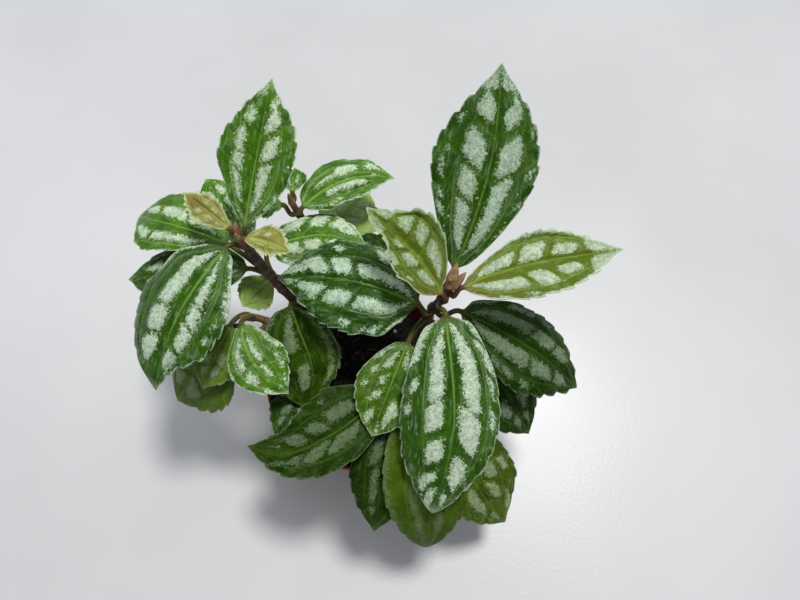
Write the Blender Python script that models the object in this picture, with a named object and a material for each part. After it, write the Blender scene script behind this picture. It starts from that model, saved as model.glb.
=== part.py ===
"""An aluminum plant in a small nursery pot.

The lengths below are in millimetres and the angles in degrees. The pot's bottom centre is the
origin, +Z is up, and +Y points to the back of the plant. Every leaf is one closed blade with its
stalk, grown from the stem that it names. The stalk ends a hair's breadth clear of that stem.
"""

import math
from collections import namedtuple

import bmesh
import bpy
import numpy as np

MM = 0.001
GAP = 0.3

# Pot
POT_HEIGHT = 65.0
POT_RIM_RADIUS = 37.5
POT_FOOT_RADIUS = 26.0
POT_WALL = 1.2
COLLAR_HEIGHT = 10.0
COLLAR_STEP = 3.3
COLLAR_TAPER = 0.7
FOOT_ROUNDING = 1.0
POT_SIDES = 40
DRAIN_COUNT = 6
DRAIN_RADIUS = 3.0
DRAIN_CIRCLE = 17.0

# Soil
SOIL_TOP = 58.0
SOIL_BUMP = 0.7
SOIL_RINGS = 5
SOIL_SIDES = 32
HOLE_SLACK = 0.4

# Stems: centre points from the root end to the bud, each with a radius
STEM_SIDES = 8
NODE_SWELL = 0.16
NODE_SPREAD = 1.3
STEMS = {
    "right": [
        (20.0, 13.0, 38.0, 2.3), (20.5, 13.0, 58.0, 2.1), (23.5, 14.5, 74.0, 1.9),
        (27.0, 16.5, 89.0, 1.8), (31.0, 17.0, 101.0, 1.6), (32.5, 17.0, 108.5, 1.2),
        (32.6, 16.4, 112.5, 1.7), (31.8, 15.6, 117.5, 0.4),
    ],
    "left": [
        (-8.0, 10.0, 38.0, 2.3), (-10.5, 12.0, 58.0, 2.1), (-19.0, 19.0, 75.0, 1.9),
        (-29.0, 26.0, 90.0, 1.8), (-36.0, 31.0, 101.0, 1.6), (-40.3, 34.3, 109.0, 1.1),
        (-41.2, 34.9, 111.2, 1.2), (-41.6, 35.0, 113.6, 0.4),
    ],
    "low": [
        (-13.0, 0.0, 38.0, 2.0), (-15.0, 1.5, 58.0, 1.8), (-25.0, 9.0, 68.0, 1.7),
        (-36.5, 17.5, 76.0, 1.5), (-42.8, 16.3, 83.5, 1.1), (-44.2, 15.2, 86.5, 0.4),
    ],
    "back": [
        (-6.0, 24.0, 38.0, 2.2), (-7.5, 26.0, 58.0, 2.0), (-11.5, 35.0, 69.5, 1.9),
        (-15.5, 43.5, 76.5, 1.8), (-21.0, 53.9, 84.5, 1.6), (-26.0, 58.9, 93.8, 1.3),
        (-27.0, 59.9, 98.3, 1.0), (-27.2, 60.1, 100.8, 0.4),
    ],
}

# Leaves
BLADE_THICKNESS = 0.62
STALK_RADIUS = 0.95
QUILTING = 0.5
TIP_ROUNDING = 0.17
TOOTH_REACH = 0.035
NOTCH_DEPTH = 0.012
TOOTH_LEAN = 0.8
FIRST_TOOTH = 0.36
LAST_TOOTH = 0.93
STALK_STEPS = (0.0, 0.35, 0.72)
WIDE_SECTION = (-1.0, -0.52, -0.26, 0.0, 0.26, 0.52, 1.0)
WIDE_RELIEF = (0.0, -0.3, 0.6, -1.0, 0.6, -0.3, 0.0)
SMALL_SECTION = (-1.0, -0.46, 0.0, 0.46, 1.0)
SMALL_RELIEF = (0.0, 0.3, -1.0, 0.3, 0.0)

Leaf = namedtuple(
    "Leaf",
    "name stem height base turn lift droop sweep length width cup heel point belly left right "
    "teeth wide young",
)


def leaf(name, stem, height, base, turn, lift, droop, length, width, sweep=0, cup=14,
         heel=0.6, point=1.25, belly=1.0, left=(), right=(), teeth=4, wide=False, young=False):
    """One leaf.

    It leaves its stem at a height, and its blade starts at base. From there it heads to turn, seen
    from above with 0 at +X, climbs at lift, sinks by droop and swings by sweep on the way to the
    tip. Cup bends the margins down. Heel and point shape the two ends: a small heel is a round one.
    Belly moves the widest place. Left and right hold (share of length, factor) knots that make one
    side of the blade slimmer or wider.
    """
    return Leaf(name, stem, height, base, turn, lift, droop, sweep, length, width, cup, heel,
                point, belly, left, right, teeth, wide, young)


LEAVES = [
    leaf("right_crown_back", "right", 100, (34.2, 24.2, 107), 68.5, 32, 10, 72.5, 36, sweep=14,
         heel=0.66, belly=1.1, teeth=5, wide=True, left=((0.55, 1.0), (0.85, 0.88), (1.0, 0.9))),
    leaf("right_crown_front", "right", 99, (31.1, 9, 104), -80.5, -13, 37, 73, 36, sweep=-29,
         cup=34, heel=0.42, point=0.8, teeth=5, wide=True,
         left=((0.55, 1.0), (0.85, 0.76), (1.0, 0.8))),
    leaf("right_young_left", "right", 104, (30.1, 14, 109.5), 136, 27, 10, 39, 28, cup=-42,
         heel=0.8, wide=True, young=True,
         left=((0.08, 1.0), (0.34, 0.68), (0.58, 0.42), (0.66, 0.25), (0.76, 0.25), (1.0, 0.8)),
         right=((0.05, 0.45), (0.1, 1.0), (0.4, 1.0), (0.66, 1.05), (0.8, 0.8), (1.0, 0.9))),
    leaf("right_young_right", "right", 106.3, (36.3, 16, 110.5), 9.8, 14, 6, 54.2, 25, cup=-22,
         heel=0.74, teeth=5, wide=True, young=True, right=((0.15, 1.0), (0.4, 0.84))),
    leaf("right_side", "right", 92, (37, 12.6, 98), -21, -10, 42, 58.5, 32, sweep=-6, cup=30,
         heel=0.5, teeth=5, wide=True),
    leaf("middle_left", "right", 91, (22, 15, 98), 152, 12, 36, 55, 37, sweep=30, cup=32,
         heel=0.38, belly=0.95, teeth=5, wide=True,
         left=((0.06, 1.0), (0.12, 1.3), (0.3, 1.12), (0.5, 1.0))),
    leaf("right_low_small", "right", 85, (18.5, 5, 87.5), -112, -1, 34, 37, 25, point=0.95),
    leaf("right_low_side", "right", 80, (41, 6.5, 83), -49, -15, 44, 47.5, 28, cup=18),
    leaf("front_right", "right", 66.5, (34.5, -17, 70), -67, -26, 38, 61, 30, sweep=25,
         left=((0.4, 1.0), (0.8, 1.15))),
    leaf("front_middle", "right", 78, (24, -4, 79), -88.5, 2, 82, 78, 31, cup=12, point=1.0,
         teeth=5, wide=True),
    leaf("front_left", "right", 71, (15.5, -11, 73), -102, 0, 60, 56, 25, cup=8),
    leaf("low_left_wide", "right", 74, (11, -9, 76), -130, 4, 36, 62, 29, sweep=-62, cup=-8,
         teeth=5, wide=True,
         right=((0.1, 1.2), (0.3, 1.16), (0.5, 0.84), (0.75, 0.44), (1.0, 0.4))),
    leaf("middle_under", "right", 85, (19, 25, 89), 139, 5, 20, 36, 28, cup=16),
    leaf("left_crown_back", "left", 105, (-39.7, 39.9, 110), 71, 45, 12, 51.5, 28, cup=10,
         heel=0.85, teeth=5, wide=True, left=((0.2, 1.0), (0.4, 1.06), (0.8, 0.92), (1.0, 0.85)),
         right=((0.2, 1.0), (0.5, 0.94), (0.8, 1.08), (1.0, 1.0))),
    leaf("left_crown_front", "left", 101, (-46, 33.6, 107.2), -122, -3, 56, 62, 41, cup=34,
         heel=0.45, teeth=5, wide=True,
         left=((0.05, 0.6), (0.3, 0.78), (0.6, 0.7), (0.82, 0.38), (1.0, 0.5)),
         right=((0.05, 1.0), (0.15, 1.36), (0.3, 1.22), (0.6, 1.18), (0.9, 1.5), (1.0, 1.3))),
    leaf("left_side", "left", 97, (-48, 38.6, 100), 153.5, 9, 62, 53, 28, cup=20, teeth=5,
         wide=True, left=((0.1, 0.9), (0.4, 0.9), (0.7, 1.15), (1.0, 1.1))),
    leaf("middle_back", "left", 89.3, (-34, 40.5, 92.8), 16, 14, 40, 39, 26, sweep=-30, cup=30,
         heel=0.42, wide=True, left=((0.15, 1.18), (0.6, 1.15), (1.0, 1.0))),
    leaf("left_young_back", "left", 108.7, (-44.3, 37.7, 113), 145, 22, 8, 20, 9.5, cup=-6,
         teeth=3, young=True),
    leaf("left_young_right", "left", 107.5, (-38.5, 33.7, 112.6), -18, 7, 16, 17.5, 9, cup=4,
         teeth=3, young=True, left=((0.1, 1.9), (0.6, 1.6), (1.0, 1.0)), right=((0.1, 0.7),)),
    leaf("left_behind", "left", 95, (-42, 42, 95), 124, 6, 22, 38, 22),
    leaf("left_under", "left", 91.5, (-41, 31.5, 94.3), 178.5, -3, 24, 52, 28, cup=12),
    leaf("middle_hanging", "left", 84, (-25.5, 19.5, 88), -81, -22, 20, 41, 31, cup=18,
         heel=0.45, teeth=5, wide=True),
    leaf("left_small_round", "left", 82.6, (-34.9, 31.7, 85.7), -133, -3, 14, 15, 16, cup=10,
         point=1.0, teeth=3),
    leaf("low_front", "low", 82.5, (-43, 11.5, 88.5), -65, -5, 38, 32, 19, sweep=24, cup=20,
         right=((0.1, 1.0), (0.3, 1.35), (0.75, 1.2), (1.0, 1.0))),
    leaf("low_grey", "low", 81, (-48, 13, 84.5), -118, -16, 26, 27.5, 20, cup=16),
    leaf("low_left", "low", 76, (-49, 13.8, 79), -142, -24, 34, 45, 39),
    leaf("low_inner", "low", 60.5, (-19.5, -3, 63), -116, 14, 10, 27, 18, cup=6, teeth=3),
    leaf("back_right", "back", 91.8, (-22.6, 57.7, 95.3), 38, 17, 40, 40, 23, sweep=-34, cup=26,
         wide=True, left=((0.2, 1.36), (0.7, 1.25), (1.0, 1.0)), right=((0.2, 0.95), (0.4, 0.68))),
    leaf("back_young", "back", 95.8, (-26.5, 63.4, 97.8), 87, 10, 14, 11, 10, cup=8, teeth=3),
    leaf("back_under", "back", 78, (-14, 54.3, 78.8), 56, 4, 22, 29, 28),
    leaf("back_left", "back", 91.3, (-30.8, 59.9, 93.8), 172, -22, 20, 13, 9, teeth=3),
]


def clear_scene():
    for thing in list(bpy.data.objects):
        bpy.data.objects.remove(thing, do_unlink=True)


def material(name, colour, roughness):
    finish = bpy.data.materials.new(name)
    finish.use_nodes = True
    shader = finish.node_tree.nodes["Principled BSDF"]
    shader.inputs["Base Color"].default_value = (*colour, 1.0)
    shader.inputs["Roughness"].default_value = roughness
    shader.inputs["Metallic"].default_value = 0.0
    finish.diffuse_color = (*colour, 1.0)
    return finish


def solid(name, points, faces, finish, sharp=50.0):
    """An object from points in millimetres, its faces turned to the outside."""
    mesh = bpy.data.meshes.new(name)
    mesh.from_pydata((np.asarray(points) * MM).tolist(), [], faces)
    shape = bmesh.new()
    shape.from_mesh(mesh)
    bmesh.ops.recalc_face_normals(shape, faces=shape.faces)
    shape.to_mesh(mesh)
    shape.free()
    if finish:
        mesh.materials.append(finish)
    mesh.shade_smooth()
    mesh.set_sharp_from_angle(angle=math.radians(sharp))
    thing = bpy.data.objects.new(name, mesh)
    bpy.context.scene.collection.objects.link(thing)
    return thing


def cut(thing, cutter):
    """Takes the cutter's shape out of a thing."""
    cutter.hide_render = True
    cutter.display_type = "WIRE"
    boolean = thing.modifiers.new(cutter.name, "BOOLEAN")
    boolean.operation = "DIFFERENCE"
    boolean.solver = "EXACT"
    boolean.object = cutter


def unit(vector):
    return vector / np.linalg.norm(vector)


def smooth_line(points, steps):
    """A smooth curve through the points, with steps pieces between each two."""
    rows = np.array(points, float)
    ends = np.vstack([2 * rows[0] - rows[1], rows, 2 * rows[-1] - rows[-2]])
    line = []
    for a, b, c, d in zip(ends, ends[1:], ends[2:], ends[3:]):
        for t in np.arange(steps) / steps:
            line.append(b + 0.5 * t * (c - a + t * (2 * a - 5 * b + 4 * c - d
                                                    + t * (3 * b - a - 3 * c + d))))
    line.append(rows[-1])
    return np.array(line)


def node_heights(stem):
    return sorted({spec.height for spec in LEAVES if spec.stem == stem})


def stem_at(stem, heights):
    """Centres and radii of a stem at those heights, with its swollen nodes."""
    line = smooth_line(STEMS[stem], 12)
    heights = np.atleast_1d(np.asarray(heights, float))
    rows = np.stack([np.interp(heights, line[:, 2], line[:, i]) for i in range(4)], 1)
    for node in node_heights(stem):
        rows[:, 3] *= 1 + NODE_SWELL * np.exp(-(((heights - node) / NODE_SPREAD) ** 2))
    return rows


def ring(centre, side, up, outline):
    """A closed ring of points round a centre, from an outline of (sideways, up) pairs."""
    return centre + outline[:, :1] * side + outline[:, 1:] * up


def skin(rings, sheet=0):
    """Triangles over rings of equal count. In a sheet of so many points the lower face mirrors the
    upper one, triangle for triangle."""
    count = len(rings[0])
    faces = []
    for i in range(len(rings) - 1):
        for j in range(count):
            a = i * count + j
            b = i * count + (j + 1) % count
            c = a + count
            d = b + count
            if sheet and j >= sheet:
                faces += [(a, b, c), (b, d, c)]
            else:
                faces += [(a, b, d), (a, d, c)]
    for first in (0, (len(rings) - 1) * count):
        if sheet:
            for j in range(sheet - 1):
                a, b = first + j, first + j + 1
                c, d = first + 2 * sheet - 2 - j, first + 2 * sheet - 1 - j
                faces += [(a, b, c), (a, c, d)]
        else:
            faces.append(tuple(range(first, first + count)))
    return np.vstack(rings), faces


def tube(rows, sides, extra=0.0):
    """Points and faces of a round tube along rows of centre and radius."""
    turns = 2 * math.pi * np.arange(sides) / sides
    circle = np.stack([np.cos(turns), np.sin(turns)], 1)
    rings = []
    for i, row in enumerate(rows):
        along = unit(rows[min(i + 1, len(rows) - 1)][:3] - rows[max(i - 1, 0)][:3])
        side = unit(np.cross((0.0, 1.0, 0.2), along))
        rings.append(ring(row[:3], side, np.cross(along, side), circle * (row[3] + extra)))
    return skin(rings)


# Pot

def pot_radius(height):
    """Outer radius of the wall below the collar."""
    under_collar = POT_RIM_RADIUS - COLLAR_TAPER - COLLAR_STEP
    share = height / (POT_HEIGHT - COLLAR_HEIGHT)
    return POT_FOOT_RADIUS + (under_collar - POT_FOOT_RADIUS) * share


def make_pot(finish):
    collar_bottom = POT_HEIGHT - COLLAR_HEIGHT
    wall_top = pot_radius(collar_bottom)
    outside = [
        (POT_RIM_RADIUS - POT_WALL, POT_HEIGHT),
        (POT_RIM_RADIUS - 0.3, POT_HEIGHT),
        (POT_RIM_RADIUS, POT_HEIGHT - 0.4),
        (POT_RIM_RADIUS - COLLAR_TAPER, collar_bottom),
        (wall_top, collar_bottom - 0.5),
        (pot_radius(FOOT_ROUNDING), FOOT_ROUNDING),
        (POT_FOOT_RADIUS - FOOT_ROUNDING, 0.0),
        (0.0, 0.0),
    ]
    inside = [
        (0.0, POT_WALL),
        (pot_radius(POT_WALL) - POT_WALL, POT_WALL),
        (wall_top - POT_WALL, collar_bottom - 1.5),
        (POT_RIM_RADIUS - COLLAR_TAPER - POT_WALL, collar_bottom + 1.2),
    ]
    profile = outside + inside
    mesh = bpy.data.meshes.new("pot")
    edges = [(i, (i + 1) % len(profile)) for i in range(len(profile))]
    open_axis = (len(outside) - 1, len(outside))
    edges.remove(open_axis)
    mesh.from_pydata([(r * MM, 0.0, z * MM) for r, z in profile], edges, [])
    mesh.materials.append(finish)
    pot = bpy.data.objects.new("pot", mesh)
    bpy.context.scene.collection.objects.link(pot)
    turn = pot.modifiers.new("turned", "SCREW")
    turn.steps = POT_SIDES
    turn.render_steps = POT_SIDES
    turn.use_merge_vertices = True
    turn.merge_threshold = 0.00001
    turn.use_smooth_shade = True
    cut(pot, make_drain_cutter())
    return pot


def make_drain_cutter():
    """The drainage holes, in a circle through the floor."""
    points = []
    faces = []
    for k in range(DRAIN_COUNT):
        turn = 2 * math.pi * (k + 0.5) / DRAIN_COUNT
        x = DRAIN_CIRCLE * math.cos(turn)
        y = DRAIN_CIRCLE * math.sin(turn)
        plug = np.array([(x, y, -2.0, DRAIN_RADIUS), (x, y, POT_WALL + 2.0, DRAIN_RADIUS)])
        plug_points, plug_faces = tube(plug, 10)
        faces += [tuple(len(points) + i for i in face) for face in plug_faces]
        points += plug_points.tolist()
    return solid("drain_cutter", points, faces, None)


# Soil

def soil_height(x, y):
    """The bumpy top of the soil."""
    waves = (np.sin(0.31 * x + 0.7) * np.cos(0.27 * y - 0.4)
             + 0.6 * np.sin(0.62 * y + 0.35 * x) + 0.4 * np.cos(0.83 * x - 0.5 * y))
    return SOIL_TOP + SOIL_BUMP * waves / 2


def make_soil(finish):
    floor = POT_WALL + GAP
    foot = pot_radius(floor) - POT_WALL - GAP - 0.1
    neck_height = POT_HEIGHT - COLLAR_HEIGHT - 1.8
    neck = pot_radius(neck_height) - POT_WALL - GAP - 0.2
    turns = 2 * math.pi * np.arange(SOIL_SIDES) / SOIL_SIDES
    circle = np.stack([np.cos(turns), np.sin(turns)], 1)
    rings = [np.column_stack([circle * foot, np.full(SOIL_SIDES, floor)]),
             np.column_stack([circle * neck, np.full(SOIL_SIDES, neck_height)])]
    for k in range(SOIL_RINGS):
        spread = circle * (neck + 0.9) * (1 - k / SOIL_RINGS) ** 0.8
        rings.append(np.column_stack([spread, soil_height(spread[:, 0], spread[:, 1])]))
    points, faces = skin(rings)
    soil = solid("soil", points, faces, finish, sharp=60.0)
    for stem in STEMS:
        buried = STEMS[stem][0][2]
        heights = np.linspace(buried, SOIL_TOP + 4, 7)
        rows = stem_at(stem, heights)
        rows[0, 2] = buried - GAP
        rows[:, 3] = rows[:, 3].max()
        hole_points, hole_faces = tube(rows, STEM_SIDES, GAP + HOLE_SLACK)
        cut(soil, solid("hole_" + stem, hole_points, hole_faces, None))
    return soil


# Stems

def make_stem(stem, finish):
    path = STEMS[stem]
    heights = {row[2] for row in path}
    for low, high in zip(path, path[1:]):
        heights.add((low[2] + high[2]) / 2)
    for node in node_heights(stem):
        heights -= {h for h in heights if abs(h - node) < 2.2 and h < path[-3][2]}
        heights |= {node - NODE_SPREAD, node, node + NODE_SPREAD}
    levels = [h for h in sorted(heights) if path[0][2] <= h <= path[-1][2]]
    spaced = [levels[0]]
    for level in levels[1:]:
        if level - spaced[-1] > 0.8:
            spaced.append(level)
    points, faces = tube(stem_at(stem, spaced), STEM_SIDES)
    return solid("stem_" + stem, points, faces, finish, sharp=70.0)


# Leaves

def heading(turn, lift):
    """Ahead, left and up of something that heads to turn and climbs at lift."""
    turn, lift = math.radians(turn), math.radians(lift)
    ahead = np.array([math.cos(lift) * math.cos(turn), math.cos(lift) * math.sin(turn),
                      math.sin(lift)])
    left = np.array([-math.sin(turn), math.cos(turn), 0.0])
    return ahead, left, np.cross(ahead, left)


def side_share(knots, share):
    """A factor eased from each (share, factor) knot to the next."""
    if not knots or share <= knots[0][0]:
        return knots[0][1] if knots else 1.0
    for (low, first), (high, last) in zip(knots, knots[1:]):
        if share <= high:
            ease = (share - low) / (high - low)
            return first + (last - first) * ease * ease * (3 - 2 * ease)
    return knots[-1][1]


def half_widths(spec, share):
    """The blade's width left and right of its middle line at a share of its length, before the
    teeth. The last stretch is rounded, so that the tip is blunt."""
    swell = max(math.sin(math.pi * share ** spec.belly), 0.0)
    body = spec.width / 2 * swell ** (spec.heel + (spec.point - spec.heel) * share)
    start = min(max((share - 0.6) / 0.3, 0.0), 1.0)
    half = math.hypot(body, TIP_ROUNDING * spec.width * start * math.sqrt(1.0 - share))
    return half * side_share(spec.left, share), half * side_share(spec.right, share)


def blade_middle(spec, shares):
    """Points of the blade's midrib at those shares of its length, each with its heading."""
    steps = 200
    fine = np.linspace(0, 1, steps + 1)
    lifts = spec.lift - spec.droop * fine ** 1.3
    turns = spec.turn + spec.sweep * fine
    ahead = np.array([heading(turn, lift)[0] for turn, lift in zip(turns, lifts)])
    moves = (ahead[1:] + ahead[:-1]) / 2 * spec.length / steps
    run = np.vstack([np.zeros(3), np.cumsum(moves, 0)]) + np.array(spec.base, float)
    middle = []
    for share in shares:
        point = np.array([np.interp(share, fine, run[:, i]) for i in range(3)])
        way = heading(np.interp(share, fine, turns), np.interp(share, fine, lifts))
        middle.append((point, way))
    return middle


def blade_stations(spec):
    """Shares of the length with a section each, and how far the margin juts there: two for each
    tooth, at its notch and at its tip."""
    shares = [0.0, 0.05, 0.14, 0.25] if spec.wide else [0.0, 0.14, 0.25]
    juts = [0.0] * len(shares)
    pitch = (LAST_TOOTH - FIRST_TOOTH) / spec.teeth
    for k in range(spec.teeth):
        shares += [FIRST_TOOTH + pitch * k, FIRST_TOOTH + pitch * (k + 0.72)]
        juts += [-NOTCH_DEPTH, TOOTH_REACH]
    return shares + [LAST_TOOTH + 0.01, 0.985], juts + [-NOTCH_DEPTH, 0.0]


def stalk_outline(count):
    """A small circle with as many points as a blade's section, upper half first."""
    turns = math.pi / count * (np.arange(count) + 0.5)
    upper = np.stack([-np.cos(turns), np.sin(turns)], 1)
    lower = np.stack([np.cos(turns), -np.sin(turns)], 1)
    return np.concatenate([upper, lower]) * STALK_RADIUS


def stalk_rings(spec, outline, way):
    """The leaf stalk, which leaves the stem squarely and runs into the blade."""
    root = stem_at(spec.stem, spec.height)[0]
    above, below = stem_at(spec.stem, [spec.height + 1, spec.height - 1])[:, :3]
    along = unit(above - below)
    ahead, left, _ = way
    base = np.array(spec.base, float)
    toward = base - 0.45 * np.linalg.norm(base - root[:3]) * ahead - root[:3]
    square = unit(toward - along * (toward @ along))
    start = root[:3] + square * (root[3] + GAP + 0.25)
    reach = np.linalg.norm(base - start)
    bend_out = start + square * reach * 0.38
    bend_in = base - ahead * reach * 0.36
    rings = []
    for t in STALK_STEPS:
        s = 1 - t
        centre = s ** 3 * start + 3 * t * s * s * bend_out + 3 * t * t * s * bend_in + t ** 3 * base
        course = s * s * (bend_out - start) + 2 * t * s * (bend_in - bend_out) + t * t * (base - bend_in)
        course = unit(course)
        side = unit(left - course * (left @ course))
        rings.append(ring(centre, side, np.cross(course, side), outline))
    return rings


def blade_ring(spec, share, jut, point, way, outline):
    """One section of the blade: an arc of even thickness, quilted between the veins, with a
    midrib below that fades towards the tip."""
    ahead, left, up = way
    if share == 0.0:
        return ring(point, left, up, outline)
    across = np.array(WIDE_SECTION if spec.wide else SMALL_SECTION)
    relief = np.array(WIDE_RELIEF if spec.wide else SMALL_RELIEF)
    least = 0.55 if share > 0.5 else STALK_RADIUS
    half_left, half_right = (max(half + jut * spec.width / 2, least)
                             for half in half_widths(spec, share))
    bend = spec.width / 2 / math.radians(spec.cup)
    angle = across * np.where(across > 0, half_left, half_right) / bend
    skin_middle = np.stack([bend * np.sin(angle), bend * (np.cos(angle) - 1)], 1)
    outwards = np.stack([np.sin(angle), np.cos(angle)], 1)
    lift = QUILTING * math.sin(math.pi * share) * relief
    rib = (STALK_RADIUS - BLADE_THICKNESS / 2) * (1 - share) ** 1.5
    under_rib = rib * (np.abs(across) < 0.1)
    upper = skin_middle + outwards * (lift + BLADE_THICKNESS / 2)[:, None]
    lower = skin_middle + outwards * (lift - BLADE_THICKNESS / 2 - under_rib)[:, None]
    section = ring(point, left, up, np.concatenate([upper, lower[::-1]]))
    if jut > 0:
        count = len(across)
        section[[0, count - 1, count, 2 * count - 1]] += ahead * TOOTH_LEAN
    return section


def make_leaf(spec, finish):
    shares, juts = blade_stations(spec)
    middle = blade_middle(spec, shares)
    count = len(WIDE_SECTION if spec.wide else SMALL_SECTION)
    outline = stalk_outline(count)
    rings = stalk_rings(spec, outline, middle[0][1])
    for share, jut, (point, way) in zip(shares, juts, middle):
        rings.append(blade_ring(spec, share, jut, point, way, outline))
    points, faces = skin(rings, sheet=count)
    return solid("leaf_" + spec.name, points, faces, finish, sharp=40.0)


def main():
    clear_scene()
    leaf_green = material("leaf_green", (0.17, 0.30, 0.12), 0.4)
    leaf_young = material("leaf_young", (0.33, 0.35, 0.11), 0.45)
    bark = material("stem", (0.16, 0.07, 0.04), 0.6)
    earth = material("soil", (0.03, 0.02, 0.015), 0.95)
    plastic = material("pot", (0.28, 0.06, 0.06), 0.45)
    make_pot(plastic)
    make_soil(earth)
    for stem in STEMS:
        make_stem(stem, bark)
    for spec in LEAVES:
        make_leaf(spec, leaf_young if spec.young else leaf_green)


main()
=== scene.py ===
"""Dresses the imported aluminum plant: fine leaves with veins and silver patches, stems with buds,
potting mix and pot, on a pale floor.

Lengths are in millimetres and angles in degrees, in the frame of the CAD: the pot's bottom centre
is the origin, +Z is up and +Y points to the back. MM turns them into metres.
"""

import math
from collections import namedtuple

import bpy
import numpy as np
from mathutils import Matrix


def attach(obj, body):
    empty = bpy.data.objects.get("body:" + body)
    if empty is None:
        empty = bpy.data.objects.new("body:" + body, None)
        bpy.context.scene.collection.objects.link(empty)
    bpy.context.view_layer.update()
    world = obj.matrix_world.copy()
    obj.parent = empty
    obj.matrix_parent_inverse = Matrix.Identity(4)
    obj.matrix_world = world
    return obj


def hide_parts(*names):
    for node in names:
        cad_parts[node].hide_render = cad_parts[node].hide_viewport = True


MM = 0.001
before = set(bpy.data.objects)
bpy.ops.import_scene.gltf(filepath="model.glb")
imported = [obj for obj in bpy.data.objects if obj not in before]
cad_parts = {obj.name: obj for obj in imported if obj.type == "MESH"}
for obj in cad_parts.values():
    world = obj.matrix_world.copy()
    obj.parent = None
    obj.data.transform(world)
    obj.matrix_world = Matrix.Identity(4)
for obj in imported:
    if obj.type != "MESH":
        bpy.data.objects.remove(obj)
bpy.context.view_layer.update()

# Camera, light and floor. Only the lamps' places, sizes and aim are in metres

CAMERA_PLACE = (15.47, -70.35, 294.2)
CAMERA_DOWN = 66.0
CAMERA_LENS = 27.0
SENSOR_WIDTH = 36.0
LAMPS = [
    ("key", (0.5, 0.5, 2.4), 0.5, 44.0, (1.0, 0.99, 0.97)),
    ("window", (-1.2, 1.2, 2.2), 1.2, 12.0, (0.95, 0.97, 1.0)),
]
LAMP_AIM = (0.0, 0.0, 0.08)
SKY_COLOUR = (0.92, 0.95, 1.0, 1.0)
SKY_STRENGTH = 0.38
FLOOR_REACH = 4000.0

# Pot and soil, as in the CAD

POT_HEIGHT = 65.0
POT_RIM_RADIUS = 37.5
POT_FOOT_RADIUS = 26.0
POT_WALL = 1.2
COLLAR_HEIGHT = 10.0
COLLAR_STEP = 3.3
COLLAR_TAPER = 0.7
DRAIN_COUNT = 6
DRAIN_RADIUS = 3.0
DRAIN_CIRCLE = 17.0
DRAIN_SIDES = 24
SOIL_TOP = 58.0
SOIL_BUMP = 0.7
SOIL_NECK = POT_HEIGHT - COLLAR_HEIGHT - 1.8

# Stems, as in the CAD: centre points from the root end to the bud, each with a radius

NODE_SWELL = 0.16
NODE_SPREAD = 1.3
STEMS = {
    "right": [
        (20.0, 13.0, 38.0, 2.3), (20.5, 13.0, 58.0, 2.1), (23.5, 14.5, 74.0, 1.9),
        (27.0, 16.5, 89.0, 1.8), (31.0, 17.0, 101.0, 1.6), (32.5, 17.0, 108.5, 1.2),
        (32.6, 16.4, 112.5, 1.7), (31.8, 15.6, 117.5, 0.4),
    ],
    "left": [
        (-8.0, 10.0, 38.0, 2.3), (-10.5, 12.0, 58.0, 2.1), (-19.0, 19.0, 75.0, 1.9),
        (-29.0, 26.0, 90.0, 1.8), (-36.0, 31.0, 101.0, 1.6), (-40.3, 34.3, 109.0, 1.1),
        (-41.2, 34.9, 111.2, 1.2), (-41.6, 35.0, 113.6, 0.4),
    ],
    "low": [
        (-13.0, 0.0, 38.0, 2.0), (-15.0, 1.5, 58.0, 1.8), (-25.0, 9.0, 68.0, 1.7),
        (-36.5, 17.5, 76.0, 1.5), (-42.8, 16.3, 83.5, 1.1), (-44.2, 15.2, 86.5, 0.4),
    ],
    "back": [
        (-6.0, 24.0, 38.0, 2.2), (-7.5, 26.0, 58.0, 2.0), (-11.5, 35.0, 69.5, 1.9),
        (-15.5, 43.5, 76.5, 1.8), (-21.0, 53.9, 84.5, 1.6), (-26.0, 58.9, 93.8, 1.3),
        (-27.0, 59.9, 98.3, 1.0), (-27.2, 60.1, 100.8, 0.4),
    ],
}

# Leaves, as in the CAD
#
# Height is where the stalk leaves the stem and base where the blade starts, heading to turn and
# climbing at lift. At the tip it has dropped by droop and swung by sweep. Left and right scale the
# two halves of the blade at shares of its length.

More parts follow.
